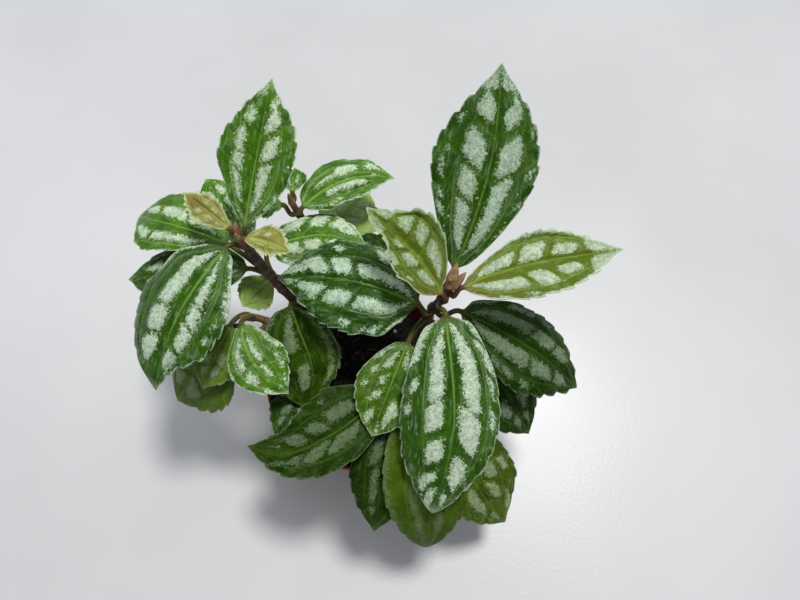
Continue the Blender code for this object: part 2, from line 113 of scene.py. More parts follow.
STALK_RADIUS = 0.95
QUILTING = 0.5
FIRST_TOOTH = 0.36
LAST_TOOTH = 0.93
Leaf = namedtuple(
    "Leaf",
    "name stem height base turn lift droop length width sweep cup heel point belly left right "
    "teeth wide young",
    defaults=(0, 14, 0.6, 1.25, 1.0, (), (), 4, False, False))
LEAVES = [
    Leaf("right_crown_back", "right", 100, (34.2, 24.2, 107), 68.5, 32, 10, 72.5, 36, sweep=14,
         heel=0.66, belly=1.1, teeth=5, left=((0.55, 1.0), (0.85, 0.88), (1.0, 0.9))),
    Leaf("right_crown_front", "right", 99, (31.1, 9, 104), -80.5, -13, 37, 73, 36, sweep=-29,
         cup=34, heel=0.42, point=0.8, teeth=5, left=((0.55, 1.0), (0.85, 0.76), (1.0, 0.8))),
    Leaf("right_young_left", "right", 104, (30.1, 14, 109.5), 136, 27, 10, 39, 28, cup=-42,
         heel=0.8, wide=True, young=True,
         left=((0.08, 1.0), (0.34, 0.68), (0.58, 0.42), (0.66, 0.25), (0.76, 0.25), (1.0, 0.8)),
         right=((0.05, 0.45), (0.1, 1.0), (0.4, 1.0), (0.66, 1.05), (0.8, 0.8), (1.0, 0.9))),
    Leaf("right_young_right", "right", 106.3, (36.3, 16, 110.5), 9.8, 14, 6, 54.2, 25, cup=-22,
         heel=0.74, teeth=5, wide=True, young=True, right=((0.15, 1.0), (0.4, 0.84))),
    Leaf("right_side", "right", 92, (37, 12.6, 98), -21, -10, 42, 58.5, 32, sweep=-6, cup=30,
         heel=0.5, teeth=5),
    Leaf("middle_left", "right", 91, (22, 15, 98), 152, 12, 36, 55, 37, sweep=30, cup=32,
         heel=0.38, belly=0.95, teeth=5, left=((0.06, 1.0), (0.12, 1.3), (0.3, 1.12), (0.5, 1.0))),
    Leaf("right_low_small", "right", 85, (18.5, 5, 87.5), -112, -1, 34, 37, 25, point=0.95),
    Leaf("right_low_side", "right", 80, (41, 6.5, 83), -49, -15, 44, 47.5, 28, cup=18),
    Leaf("front_right", "right", 66.5, (34.5, -17, 70), -67, -26, 38, 61, 30, sweep=25,
         left=((0.4, 1.0), (0.8, 1.15))),
    Leaf("front_middle", "right", 78, (24, -4, 79), -88.5, 2, 82, 78, 31, cup=12, point=1.0, teeth=5),
    Leaf("front_left", "right", 71, (15.5, -11, 73), -102, 0, 60, 56, 25, cup=8),
    Leaf("low_left_wide", "right", 74, (11, -9, 76), -130, 4, 36, 62, 29, sweep=-62, cup=-8,
         teeth=5, right=((0.1, 1.2), (0.3, 1.16), (0.5, 0.84), (0.75, 0.44), (1.0, 0.4))),
    Leaf("middle_under", "right", 85, (19, 25, 89), 139, 5, 20, 36, 28, cup=16),
    Leaf("left_crown_back", "left", 105, (-39.7, 39.9, 110), 71, 45, 12, 51.5, 28, cup=10,
         heel=0.85, teeth=5, left=((0.2, 1.0), (0.4, 1.06), (0.8, 0.92), (1.0, 0.85)),
         right=((0.2, 1.0), (0.5, 0.94), (0.8, 1.08), (1.0, 1.0))),
    Leaf("left_crown_front", "left", 101, (-46, 33.6, 107.2), -122, -3, 56, 62, 41, cup=34,
         heel=0.45, teeth=5, left=((0.05, 0.6), (0.3, 0.78), (0.6, 0.7), (0.82, 0.38), (1.0, 0.5)),
         right=((0.05, 1.0), (0.15, 1.36), (0.3, 1.22), (0.6, 1.18), (0.9, 1.5), (1.0, 1.3))),
    Leaf("left_side", "left", 97, (-48, 38.6, 100), 153.5, 9, 62, 53, 28, cup=20, teeth=5,
         left=((0.1, 0.9), (0.4, 0.9), (0.7, 1.15), (1.0, 1.1))),
    Leaf("middle_back", "left", 89.3, (-34, 40.5, 92.8), 16, 14, 40, 39, 26, sweep=-30, cup=30,
         heel=0.42, left=((0.15, 1.18), (0.6, 1.15), (1.0, 1.0))),
    Leaf("left_young_back", "left", 108.7, (-44.3, 37.7, 113), 145, 22, 8, 20, 9.5, cup=-6,
         teeth=3, young=True),
    Leaf("left_young_right", "left", 107.5, (-38.5, 33.7, 112.6), -18, 7, 16, 17.5, 9, cup=4,
         teeth=3, young=True, left=((0.1, 1.9), (0.6, 1.6), (1.0, 1.0)), right=((0.1, 0.7),)),
    Leaf("left_behind", "left", 95, (-42, 42, 95), 124, 6, 22, 38, 22),
    Leaf("left_under", "left", 91.5, (-41, 31.5, 94.3), 178.5, -3, 24, 52, 28, cup=12),
    Leaf("middle_hanging", "left", 84, (-25.5, 19.5, 88), -81, -22, 20, 41, 31, cup=18, heel=0.45,
         teeth=5),
    Leaf("left_small_round", "left", 82.6, (-34.9, 31.7, 85.7), -133, -3, 14, 15, 16, cup=10,
         point=1.0, teeth=3),
    Leaf("low_front", "low", 82.5, (-43, 11.5, 88.5), -65, -5, 38, 32, 19, sweep=24, cup=20,
         right=((0.1, 1.0), (0.3, 1.35), (0.75, 1.2), (1.0, 1.0))),
    Leaf("low_grey", "low", 81, (-48, 13, 84.5), -118, -16, 26, 27.5, 20, cup=16),
    Leaf("low_left", "low", 76, (-49, 13.8, 79), -142, -24, 34, 45, 39),
    Leaf("low_inner", "low", 60.5, (-19.5, -3, 63), -116, 14, 10, 27, 18, cup=6, teeth=3),
    Leaf("back_right", "back", 91.8, (-22.6, 57.7, 95.3), 38, 17, 40, 40, 23, sweep=-34, cup=26,
         left=((0.2, 1.36), (0.7, 1.25), (1.0, 1.0)), right=((0.2, 0.95), (0.4, 0.68))),
    Leaf("back_young", "back", 95.8, (-26.5, 63.4, 97.8), 87, 10, 14, 11, 10, cup=8, teeth=3),
    Leaf("back_under", "back", 78, (-14, 54.3, 78.8), 56, 4, 22, 29, 28),
    Leaf("back_left", "back", 91.3, (-30.8, 59.9, 93.8), 172, -22, 20, 13, 9, teeth=3),
]

# Silver patches, in percent
#
# A patch is (first, last, inner, outer): where it lies along the blade, and its edges across it,
# where 0 is the midrib, 100 the side vein and 200 the margin. A fifth number makes its ends slant
# more or less than the cross veins do. Side is the place of the two side veins from midrib to
# margin. Middle is the midrib's sideways shift at the base, the middle and the tip, + to the left
# as seen from the stalk. Rim is how much silver the two margins get.

Pattern = namedtuple("Pattern", "left right paint side middle rim")


def pattern(left, right, paint, side=(55, 55), middle=(0, 0, 0), rim=(50, 50)):
    patches = [[(*np.divide(patch[:4], 100), *patch[4:]) for patch in rows] for rows in (left, right)]
    return Pattern(*patches, paint, *(np.divide(row, 100) for row in (side, middle, rim)))


COMMON_LEFT = [(8, 36, 20, 85), (39, 58, 15, 90), (61, 78, 15, 100), (10, 24, 150, 190),
               (45, 52, 140, 180)]
COMMON_RIGHT = [(8, 44, 20, 85), (47, 63, 15, 90), (66, 81, 15, 100), (8, 28, 150, 190),
                (36, 46, 140, 180)]
PATTERNS = {
    "right_crown_back": pattern(
        [(10, 33.5, 27, 95), (35.2, 48.5, 27, 92), (51.5, 66.5, 22, 100, 1.2),
         (73.5, 85, 10, 135, 0.8), (24.5, 30.5, 150, 192), (33, 37.5, 152, 176), (43, 53, 155, 172),
         (55, 58.5, 148, 162), (70, 75, 150, 175), (87, 105, 15, 230)],
        [(10, 46.5, 25, 88), (49.2, 65.5, 20, 102, 1.3), (74, 83, 25, 170), (34, 39, 150, 190),
         (48, 50.5, 140, 170), (52, 55.3, 150, 180), (68, 72, 165, 185), (21, 27, 170, 195),
         (87, 105, 15, 230)],
        "crown", (54, 64), (-10, -12, -10), (40, 40)),
    "right_crown_front": pattern(
        [(4.5, 45.5, 25, 76, 1.3), (45.5, 63.2, 12, 80, 1.8), (68.5, 82.5, 12, 90, 1.2),
         (87, 95, 20, 100), (0, 14, 155, 210), (15, 29, 115, 200), (31, 40, 120, 170),
         (45, 54, 110, 160)],
        [(6, 40.5, 30, 90), (41.5, 56, 35, 97), (60, 72, 25, 92), (79, 85, 35, 160),
         (89, 97, 30, 190), (0, 23, 150, 210), (30, 38, 135, 172), (44, 50, 160, 185)],
        "deep", (74, 54), (-6, 8, 6)),
    "right_young_left": pattern(
        [(11, 30, 12, 86, 0.5), (34.5, 49, 12, 95, 0.4), (54, 64, 12, 80, 0.5), (27, 34, 135, 170),
         (46, 60, 140, 195), (75, 95, 20, 220)],
        [(13, 42, 32, 88), (45.5, 58, 28, 93, 1.5), (62, 73.5, 20, 95), (79, 95, 30, 220)],
        "khaki", (50, 78), (-12, -17, -12), (30, 20)),
    "right_young_right": pattern(
        [(11, 35.5, 8, 80), (39, 55, 6, 85), (59.5, 74, 12, 72), (79, 105, 10, 230),
         (44, 60, 165, 195)],
        [(6, 40, 42, 98), (44.5, 57.5, 28, 125, 1.2), (60, 73, 30, 85), (79, 105, 25, 230),
         (21, 27, 150, 185), (38, 45, 150, 180)],
        "olive", (80, 68), (28, 18, 10), (30, 30)),
    "right_side": pattern(
        [(8, 47, 33, 93), (48.5, 66, 33, 95), (68, 80, 30, 130), (27, 40, 135, 185),
         (42, 48.5, 140, 185), (55, 62, 145, 190), (0, 20, 150, 210)],
        [(9, 52, 24, 78), (53.5, 71, 24, 80), (75, 85, 20, 110), (28, 36, 110, 160),
         (37.5, 47, 110, 160), (54, 61, 115, 170)],
        "shade", (60, 66), (2, 0, 3)),
    "middle_left": pattern(
        [(7, 40.5, 44, 97), (44, 63, 42, 105), (66.5, 84, 30, 115, 1.2), (87, 98, 20, 150),
         (2, 13, 160, 200), (16.5, 24, 145, 190), (27, 32, 170, 192), (40, 50, 150, 180)],
        [(5, 45.5, 22, 76), (49, 62.5, 18, 97), (67, 80, 20, 140, 1.2), (83, 95, 40, 190),
         (27, 37, 125, 185), (58, 65, 130, 175)],
        "dusk", (55, 52), (0, 4, 12)),
    "right_low_small": pattern(
        [(62, 85, 35, 120, 1.5), (90, 98, 20, 150), (8, 28, 30, 80), (6, 36, 150, 200)],
        [(40, 50, 30, 70), (55, 63.5, 25, 85), (63, 69, 80, 105), (12, 34, 35, 85),
         (10, 28, 140, 190), (78, 88, 40, 180, 1.2), (34, 43, 105, 145), (50, 56, 125, 165)],
        "dull", (50, 55), rim=(50, 60)),
    "right_low_side": pattern(
        [(30, 50, 20, 80), (58, 72, 30, 90), (76, 85, 20, 100)],
        [(25, 45, 20, 80), (55, 70, 30, 90), (74, 84, 20, 100)], "shade", rim=(30, 30)),
    "front_right": pattern(
        [(15, 36, 20, 80), (40, 54, 45, 90), (55, 70, 25, 65, 1.5), (44, 57, 115, 165),
         (76, 92, 90, 180, 2.0)],
        [(15, 40, 20, 80), (50, 74, 30, 95), (80, 90, 20, 100)],
        "yellow", (60, 60), (-17, -17, -10), (20, 20)),
    "front_middle": pattern(
        [(10, 35, 20, 80), (40, 60, 20, 80), (67, 80, 20, 85, 1.4), (82, 93, 40, 120, 2.0)],
        [(10, 40, 20, 80), (50, 68, 40, 90), (70, 82, 35, 100, 1.5), (84, 93, 40, 110, 2.0),
         (20, 80, 175, 205)],
        "moss", middle=(10, 12, 10), rim=(40, 60)),
    "front_left": pattern(
        [(20, 45, 20, 80), (50, 70, 20, 80)],
        [(30, 48, 30, 95), (50, 74, 22, 70), (76, 84, 20, 90)], "fern", rim=(20, 20)),
    "low_left_wide": pattern(
        [(27, 46, 20, 90, 1.3), (48.5, 61, 15, 95, 1.6), (62, 70, 30, 90, 1.3), (74, 80, 60, 140)],
        [(22, 43, 30, 85), (45, 56, 20, 80, 1.5), (59.5, 71.5, 10, 85, 1.5), (74, 81, 10, 50),
         (40, 45, 130, 162)],
        "fern", (60, 66), (-5, 16, 60), (50, 40)),
    "middle_under": pattern(COMMON_LEFT, COMMON_RIGHT, "shade"),
    "left_crown_back": pattern(
        [(18, 37.5, 50, 100), (38, 50.5, 48, 98), (51.2, 66, 50, 115), (70, 80, 40, 145, 0.5),
         (10, 14, 120, 160), (88, 96, 20, 220)],
        [(10, 45.5, 25, 78), (48.5, 64, 25, 95, 1.4), (69, 80, 20, 115, 1.5),
         (83, 89, 50, 190, 0.7), (7, 28, 160, 195)],
        "bright", (60, 62), rim=(40, 35)),
    "left_crown_front": pattern(
        [(6, 37.5, 32, 75), (38, 50, 33, 85), (51, 65, 33, 95), (69, 81, 20, 150, 0.8),
         (0, 36, 166, 210), (22, 31, 140, 175, -1.0), (39, 46, 150, 165), (51, 56, 150, 170)],
        [(5, 46, 22, 66), (47, 63, 15, 68), (66, 80, 15, 75, 2.2), (0, 32, 170, 210)],
        "deep", (58, 72), (-5, -7, -5), (40, 30)),
    "left_side": pattern(
        [(16, 58, 46, 93), (61, 78, 45, 100), (10, 30, 160, 210)],
        [(12, 36, 31, 83), (38, 62, 31, 83), (65, 80, 30, 95), (10, 40, 150, 200)],
        "bright", (72, 55), (5, 16, 17), (40, 50)),
    "middle_back": pattern(
        [(14, 37, 35, 110), (41, 57, 28, 105, 1.2), (61, 84, 25, 110, 1.5)],
        [(16, 32.5, 20, 97), (34.5, 53, 15, 80), (56, 70, 20, 90), (10, 35, 140, 200)],
        "bright", (92, 55), (10, 17, 14), (60, 70)),
    "left_young_back": pattern(
        [(12, 22, 30, 90), (27, 44, 30, 90), (52, 64, 30, 100)],
        [(12, 24, 30, 90), (30, 46, 30, 80), (52, 64, 30, 100)], "bronze", (70, 70), rim=(30, 30)),
    "left_young_right": pattern(
        [(12, 25, 30, 90), (34, 50, 30, 80)],
        [(10, 20, 30, 90), (26, 47, 30, 80), (55, 70, 30, 80)],
        "bronze", (70, 70), (20, 20, 20), (30, 30)),
    "left_behind": pattern(COMMON_LEFT, COMMON_RIGHT, "bright"),
    "left_under": pattern(COMMON_LEFT[:3], COMMON_RIGHT[:3], "crown", rim=(20, 20)),
    "middle_hanging": pattern(
        [(5, 20, 110, 150), (20, 50, 100, 160), (52, 80, 100, 160), (25, 70, 180, 210)],
        [(6, 44, 20, 66), (55, 80, 5, 50), (4, 25, 160, 200)],
        "hanging", (62, 62), (3, 27, 40), (50, 40)),
    "left_small_round": pattern([], [], "round", rim=(20, 20)),
    "low_front": pattern(
        [(13, 49, 12, 70), (54, 71, 10, 60), (77, 87, 12, 50), (8, 47, 160, 195),
         (48, 72, 140, 162), (75, 90, 140, 160)],
        [(12, 47.5, 40, 100), (53, 69, 35, 130, 1.3), (76, 87, 80, 190), (25, 50, 185, 210)],
        "bright", (40, 62), (-20, -24, -12), (30, 30)),
    "low_grey": pattern(COMMON_LEFT[1:3], COMMON_RIGHT[1:3], "grey", rim=(20, 20)),
    "low_left": pattern(COMMON_LEFT[:3], COMMON_RIGHT[:3], "matt", rim=(20, 20)),
    "low_inner": pattern(COMMON_LEFT[1:3], COMMON_RIGHT[1:3], "shade", rim=(20, 30)),
    "back_right": pattern(
        [(22, 42, 30, 62), (42, 64.5, 28, 98, 0.8), (72, 84, 50, 170), (76, 84, 0, 20)],
        [(27, 70, 15, 83, 0.5), (5, 22, 105, 140), (25, 33, 125, 180, 1.5), (36, 40, 140, 165),
         (50, 70, 180, 200)],
        "bright", (58, 60), (5, 9, 9), (30, 30)),
    "back_young": pattern([(25, 50, 30, 80)], [(30, 60, 30, 80)], "bright", rim=(30, 30)),
    "back_under": pattern(COMMON_LEFT, COMMON_RIGHT, "round", rim=(30, 30)),
    "back_left": pattern([(25, 60, 30, 80)], [(30, 60, 30, 80)], "bright", rim=(30, 30)),
}

# Leaf colours
#
# In the table of paints a colour is in thousandths. Strength is how dense the silver is, margin how
# pale the rim is and, beyond 1, how much wider, gloss the roughness and shine the specular level.

Paint = namedtuple("Paint", "green second vein silver strength margin gloss shine")


def paint(*values):
    return Paint(*(tuple(part / 1000 for part in colour) for colour in values[:4]), *values[4:])


YOUNG_PAINTS = ("olive", "khaki", "bronze")
PAINTS = {
    "deep": paint((29, 98, 1), (12, 50, 1), (140, 280, 50), (660, 810, 610), 1.0, 0.7, 0.27, 0.18),
    "crown": paint((24, 78, 1), (11, 44, 1), (90, 180, 25), (460, 600, 430), 1.0, 0.8, 0.27, 0.12),
    # Painted shade: a darker copy of deep for a leaf that lies in the shade of the young leaf above it
    "dusk": paint((19, 72, 1), (8, 36, 1), (100, 210, 30), (580, 760, 550), 1.0, 0.65, 0.27, 0.13),
    "bright": paint((60, 170, 2), (26, 96, 1), (180, 350, 50), (700, 860, 600), 1.0, 0.95, 0.29, 0.2),
    "shade": paint((14, 45, 1), (6, 26, 1), (60, 120, 12), (230, 320, 200), 0.9, 0.55, 0.29, 0.07),
    "hanging": paint((22, 60, 1), (6, 26, 1), (90, 170, 15), (230, 320, 170), 0.9, 0.75, 0.29, 0.06),
    # Painted shade: a still darker copy of shade for low leaves that lie under the others
    "fern": paint((12, 39, 1), (5, 20, 1), (65, 120, 10), (150, 220, 115), 0.9, 0.6, 0.29, 0.06),
    # Painted light: a lighter green for a low leaf that lies in the shade of the leaves above
    "moss": paint((58, 110, 5), (36, 76, 3), (120, 190, 20), (160, 230, 100), 0.8, 0.5, 0.36, 0.05),
    "yellow": paint((62, 114, 1), (22, 50, 1), (130, 200, 15), (380, 490, 270), 0.85, 0.4, 0.32, 0.06),
    "olive": paint((78, 142, 6), (88, 117, 8), (190, 290, 30), (600, 730, 510), 1.0, 1.35, 0.32, 0.18),
    "khaki": paint((70, 130, 5), (74, 100, 6), (170, 260, 28), (470, 600, 370), 1.0, 1.35, 0.32, 0.15),
    "bronze": paint((220, 230, 35), (190, 140, 28), (350, 380, 90), (560, 620, 340),
                    0.9, 1.3, 0.36, 0.25),
    "dull": paint((52, 125, 4), (30, 80, 2), (150, 270, 30), (600, 770, 500), 0.95, 0.9, 0.34, 0.16),
    # Painted light: these two greens are made lighter for low leaves that lie in the shade of the
    # leaves above
    "matt": paint((80, 140, 10), (55, 100, 7), (160, 240, 50), (300, 390, 230), 0.7, 0.5, 0.48, 0.15),
    "grey": paint((120, 210, 12), (80, 150, 8), (220, 330, 60), (420, 540, 340), 0.75, 0.5, 0.46, 0.12),
    # Painted light: a much lighter green for small leaves that lie deep in the shade of the leaves
    # above
    "round": paint((300, 440, 90), (220, 340, 60), (460, 580, 260), (620, 750, 520),
                   0.7, 0.6, 0.46, 0.15),
}
BLACK = (0.0, 0.0, 0.0)
YOUNG_BASE = (0.17, 0.105, 0.012)
YOUNG_STALK = (0.13, 0.05, 0.025)
OLD_STALK = (0.09, 0.085, 0.022)
UNDERSIDE = (0.21, 0.31, 0.14)
LEAF_GLOSS_TINT = (0.8, 1.0, 0.6, 1.0)


# Shaders

class Shader:
    """A material's nodes. What goes into a node is a number, a colour or another node's output."""

    def __init__(self, name):
        self.material = bpy.data.materials.new(name)
        self.material.use_nodes = True
        self.tree = self.material.node_tree
        self.tree.nodes.clear()
        self.surface = self.tree.nodes.new("ShaderNodeBsdfPrincipled")
        output = self.tree.nodes.new("ShaderNodeOutputMaterial")
        self.tree.links.new(self.surface.outputs[0], output.inputs[0])

    def put(self, socket, value):
        if isinstance(value, bpy.types.NodeSocket):
            self.tree.links.new(value, socket)
        elif socket.type == "RGBA" and len(value) == 3:
            socket.default_value = (*value, 1.0)
        else:
            socket.default_value = value

    def node(self, kind, inputs, output=0, **settings):
        node = self.tree.nodes.new("ShaderNode" + kind)
        for key, value in settings.items():
            setattr(node, key, value)
        for key, value in inputs.items():
            self.put(node.inputs[key], value)
        return node.outputs[output]

    def attribute(self, name):
        return self.node("Attribute", {}, "Fac", attribute_name=name)

    def drawn_up(self, squeeze):
        """The place on the object with its heights squeezed, for noise that is drawn out upwards."""
        place = self.node("TexCoord", {}, "Object")
        return self.node("Mapping", {"Vector": place, "Scale": (1.0, 1.0, squeeze)})

    def noise(self, size, detail=3.0, roughness=0.55, place=None):
        """Noise from 0 to 1 whose blobs are about size millimetres across."""
        place = place or self.node("TexCoord", {}, "Object")
        return self.node("TexNoise", {"Vector": place, "Scale": 1.0 / (size * MM),
                                      "Detail": detail, "Roughness": roughness}, "Fac")

    def math(self, operation, *values):
        return self.node("Math", dict(enumerate(values)), operation=operation)

    def times(self, first, second):
        return self.math("MULTIPLY", first, second)

    def scaled(self, value, factor, offset):
        return self.math("MULTIPLY_ADD", value, factor, offset)

    def ramp(self, value, low, high, start=0.0, end=1.0):
        """A smooth step from start to end as the value goes from low to high."""
        return self.node("MapRange", {"Value": value, "From Min": low, "From Max": high,
                                      "To Min": start, "To Max": end},
                         interpolation_type="SMOOTHSTEP")

    def mix(self, share, first, second):
        return self.node("Mix", {0: share, 6: first, 7: second}, 2, data_type="RGBA")

    def layers(self, colour, rows):
        """A colour under layers of (share, colour)."""
        for share, layer in rows:
            colour = self.mix(share, colour, layer)
        return colour

    def finish(self, colour, roughness, height, depth):
        """The material, with a bump whose height of 1 stands depth millimetres proud."""
        normal = self.node("Bump", {"Strength": 1.0, "Distance": depth * MM, "Height": height})
        for key, value in (("Base Color", colour), ("Roughness", roughness), ("Normal", normal)):
            self.put(self.surface.inputs[key], value)
        return self.material


def between(first, second, share):
    return tuple((1 - share) * a + share * b for a, b in zip(first, second))


# Size, detail, roughness, reach and offset of the noises that make the patches' edges ragged
EDGE_NOISES = ((0.85, 3.0, 0.65, 5.4, -2.8), (2.8, 2.0, 0.55, 2.4, -1.2), (0.40, 2.0, 0.6, 1.6, -0.8))


def leaf_material(name, paint):
    net = Shader("leaf_" + name)
    young = name in YOUNG_PAINTS
    across, side, cross, margin, along, depth, under, stalk = (
        net.attribute(key)
        for key in ("middle", "side", "cross", "margin", "along", "silver", "under", "stalk"))
    side = net.math("ABSOLUTE", side)
    pale_vein = between(paint.vein, paint.silver, 0.5)
    # Green, with streaks drawn out along the leaf
    mottle = net.noise(0.9, 4.0, 0.7)
    green = net.mix(net.ramp(net.noise(7.0), 0.35, 0.68), paint.green, paint.second)
    green = net.mix(net.ramp(mottle, 0.45, 0.85, 0.0, 0.28), green, paint.vein)
    if young:
        green = net.mix(net.ramp(along, 0.02, 0.45, 0.5, 0.0), green, YOUNG_BASE)
    drawn_out = net.node("CombineXYZ", {"X": across, "Y": net.times(along, 8.0),
                                        "Z": net.times(net.noise(40.0, 0.0), 9.0)})
    streaks = net.ramp(net.noise(0.9 / MM, 3.0, 0.6, drawn_out), 0.52, 0.74, 0.0, 0.32)
    # Veins. The midrib's band narrows to the tip. Pale lines beside the side veins are painted
    # highlights
    band = net.scaled(along, -0.40, 0.48)
    midrib = net.ramp(net.math("ABSOLUTE", across), net.math("ADD", band, 0.22),
                      net.math("SUBTRACT", band, 0.22))
    midrib = net.times(midrib, net.ramp(along, 0.0, 0.9, 0.95, 0.45))
    side_vein = net.ramp(side, 0.34, 0.08, 0.0, 0.42)
    # Painted highlight: pale lines along both shoulders of each side vein's groove, fading towards the
    # tip
    shoulder_highlight = net.math("ABSOLUTE", net.math("SUBTRACT", side, 0.62))
    shoulder_highlight = net.times(net.ramp(shoulder_highlight, 0.36, 0.04, 0.0, 0.28),
                         net.ramp(along, 0.25, 0.7, 1.0, 0.0))
    # Silver, with small holes in it
    calm = 0.5 if young else 1.0
    for size, detail, roughness, reach, offset in EDGE_NOISES:
        wobble = net.scaled(net.noise(size, detail, roughness), reach * calm, offset * calm)
        depth = net.math("ADD", depth, wobble)
    grain = net.noise(0.38, 2.0, 0.6)
    patch = net.times(net.ramp(depth, -0.06, 0.10), net.ramp(grain, 0.56, 0.66, 1.0, 0.36))
    patch = net.times(patch, net.ramp(depth, 0.0, 1.3, 0.60, 1.0))
    patch = net.times(patch, paint.strength)
    sparkle = net.scaled(net.noise(0.36, 3.0, 0.7), 0.6, net.times(net.noise(1.6, 3.0, 0.6), 0.4))
    silver = net.mix(net.ramp(sparkle, 0.38, 0.58), between(BLACK, paint.silver, 0.46), paint.silver)
    halo = net.ramp(depth, -0.9, 0.0, 0.0, 0.30)
    frost = net.times(net.ramp(net.noise(4.0, 4.0, 0.7), 0.48, 0.72, 0.0, 0.34),
                      net.ramp(margin, 6.0, 1.0))
    # Tip and margin
    pale = min(paint.margin, 1.0)
    tip = net.ramp(along, 0.91, 1.0, 0.0, 0.55 * pale)
    edge = net.scaled(net.noise(2.2, 3.0, 0.6), 2.2, max(paint.margin - 1.0, 0.0) - 0.65)
    edge = net.ramp(margin, edge, 0.0, 0.0, pale)
    stalk_colour = YOUNG_STALK if young else OLD_STALK
    colour = net.layers(green, [
        (streaks, pale_vein), (frost, pale_vein), (halo, paint.vein),
        (net.times(cross, 0.16), paint.vein), (patch, silver), (shoulder_highlight, pale_vein),
        (side_vein, paint.vein), (midrib, paint.vein), (tip, pale_vein),
        (edge, between(BLACK, paint.silver, 0.85)), (stalk, stalk_colour)])
    below = net.layers(between(paint.green, UNDERSIDE, 0.6), [
        (net.ramp(mottle, 0.3, 0.8, 0.0, 0.4), paint.vein),
        (net.math("MAXIMUM", midrib, side_vein), paint.vein), (stalk, stalk_colour)])
    rough = net.math("ADD", net.scaled(patch, 0.12, paint.gloss), net.scaled(mottle, 0.16, -0.08))
    height = net.times(grain, net.scaled(patch, 0.9, 0.25))
    height = net.scaled(patch, 0.5, net.scaled(mottle, 0.8, height))
    net.surface.inputs["Specular IOR Level"].default_value = paint.shine
    net.surface.inputs["Specular Tint"].default_value = LEAF_GLOSS_TINT
    return net.finish(net.mix(under, colour, below), rough, height, 0.17)


def stem_material():
    net = Shader("stem_bark")
    streaks = net.noise(0.8, 4.0, 0.65, net.drawn_up(0.25))
    patches = net.noise(2.5)
    streaky = net.ramp(streaks, 0.3, 0.7)
    tan = net.mix(streaky, (0.16, 0.085, 0.045), (0.30, 0.19, 0.10))
    red = net.mix(streaky, (0.028, 0.009, 0.007), (0.080, 0.028, 0.018))
    bud = net.mix(net.ramp(patches, 0.35, 0.65), (0.20, 0.06, 0.035), (0.26, 0.19, 0.075))
    top = net.ramp(net.scaled(patches, 0.3, net.attribute("rise")), 0.25, 0.75)
    colour = net.layers(tan, [(top, red), (net.attribute("scar"), (0.16, 0.09, 0.045)),
                              (net.attribute("bud"), bud)])
    return net.finish(colour, net.ramp(streaks, 0.2, 0.8, 0.45, 0.7), streaks, 0.25)


def soil_material():
    net = Shader("soil_mix")
    fine = net.noise(0.6, 5.0, 0.7)
    colour = net.mix(net.ramp(fine, 0.35, 0.75), (0.004, 0.003, 0.002), (0.022, 0.014, 0.009))
    colour = net.mix(net.ramp(net.noise(4.0), 0.5, 0.75, 0.0, 0.5), colour, (0.014, 0.008, 0.005))
    return net.finish(colour, net.ramp(fine, 0.3, 0.8, 0.95, 0.6), fine, 0.8)


def crumb_material(name, dark, light, size, roughness):
    net = Shader(name)
    fine = net.noise(size, 4.0, 0.65)
    share = net.scaled(fine, 0.6, net.times(net.attribute("tint"), 0.6))
    return net.finish(net.mix(net.ramp(share, 0.25, 0.85), dark, light), roughness, fine, 0.3)


def pot_material():
    net = Shader("pot_plastic")
    flow = net.noise(30.0, 2.0)
    red = net.mix(net.ramp(flow, 0.3, 0.7), (0.165, 0.022, 0.024), (0.215, 0.034, 0.034))
    dusty = net.times(net.ramp(net.noise(1.6, 5.0, 0.7), 0.5, 0.8, 0.0, 0.4),
                      net.ramp(net.noise(14.0, 2.0), 0.45, 0.7))
    scratched = net.ramp(net.noise(0.5, 3.0, 0.7, net.drawn_up(0.12)), 0.66, 0.8, 0.0, 0.3)
    colour = net.layers(red, [(dusty, (0.34, 0.22, 0.18)), (scratched, (0.30, 0.10, 0.09))])
    rough = net.scaled(dusty, 0.6, net.ramp(flow, 0.3, 0.7, 0.30, 0.40))
    return net.finish(colour, rough, net.noise(0.35, 2.0), 0.03)


def floor_material():
    net = Shader("floor_white")
    cloud = net.noise(120.0)
    colour = net.mix(net.ramp(cloud, 0.3, 0.7), (0.575, 0.58, 0.59), (0.61, 0.615, 0.625))
    return net.finish(colour, net.ramp(cloud, 0.3, 0.7, 0.33, 0.38), net.noise(1.5), 0.05)


# Mesh helpers

def unit(vector):
    return vector / np.linalg.norm(vector)


def bell(distance, width):
    return np.exp(-((distance / width) ** 2))


def smooth_step(low, high, value):
    share = np.clip((np.asarray(value, float) - low) / (high - low), 0.0, 1.0)
    return share * share * (3.0 - 2.0 * share)


def hash_name(name):
    """A seed that is the same in every run."""
    return sum((i + 1) * ord(letter) for i, letter in enumerate(name))


def add_object(name, data):
    thing = bpy.data.objects.new(name, data)
    bpy.context.scene.collection.objects.link(thing)
    return thing


def piece(name, points, faces, material, values=None, smooth=True):
    """A mesh object from points in millimetres, with numbers per point under the given names."""
    mesh = bpy.data.meshes.new(name)
    mesh.from_pydata((np.asarray(points) * MM).tolist(), [], faces)
    for key, numbers in (values or {}).items():
        layer = mesh.attributes.new(key, "FLOAT", "POINT")
        layer.data.foreach_set("value", np.asarray(numbers, np.float32))
    mesh.materials.append(material)
    mesh.polygons.foreach_set("use_smooth", [smooth] * len(mesh.polygons))
    mesh.update()
    return add_object(name, mesh)


def round_turns(count):
    return 2 * math.pi * np.arange(count) / count


def ring_at(centre, side, up, wide, high, count):
    """Points round a centre, as far as wide along side and as high along up."""
    turns = round_turns(count)
    return centre + (wide * np.cos(turns))[:, None] * side + (high * np.sin(turns))[:, None] * up


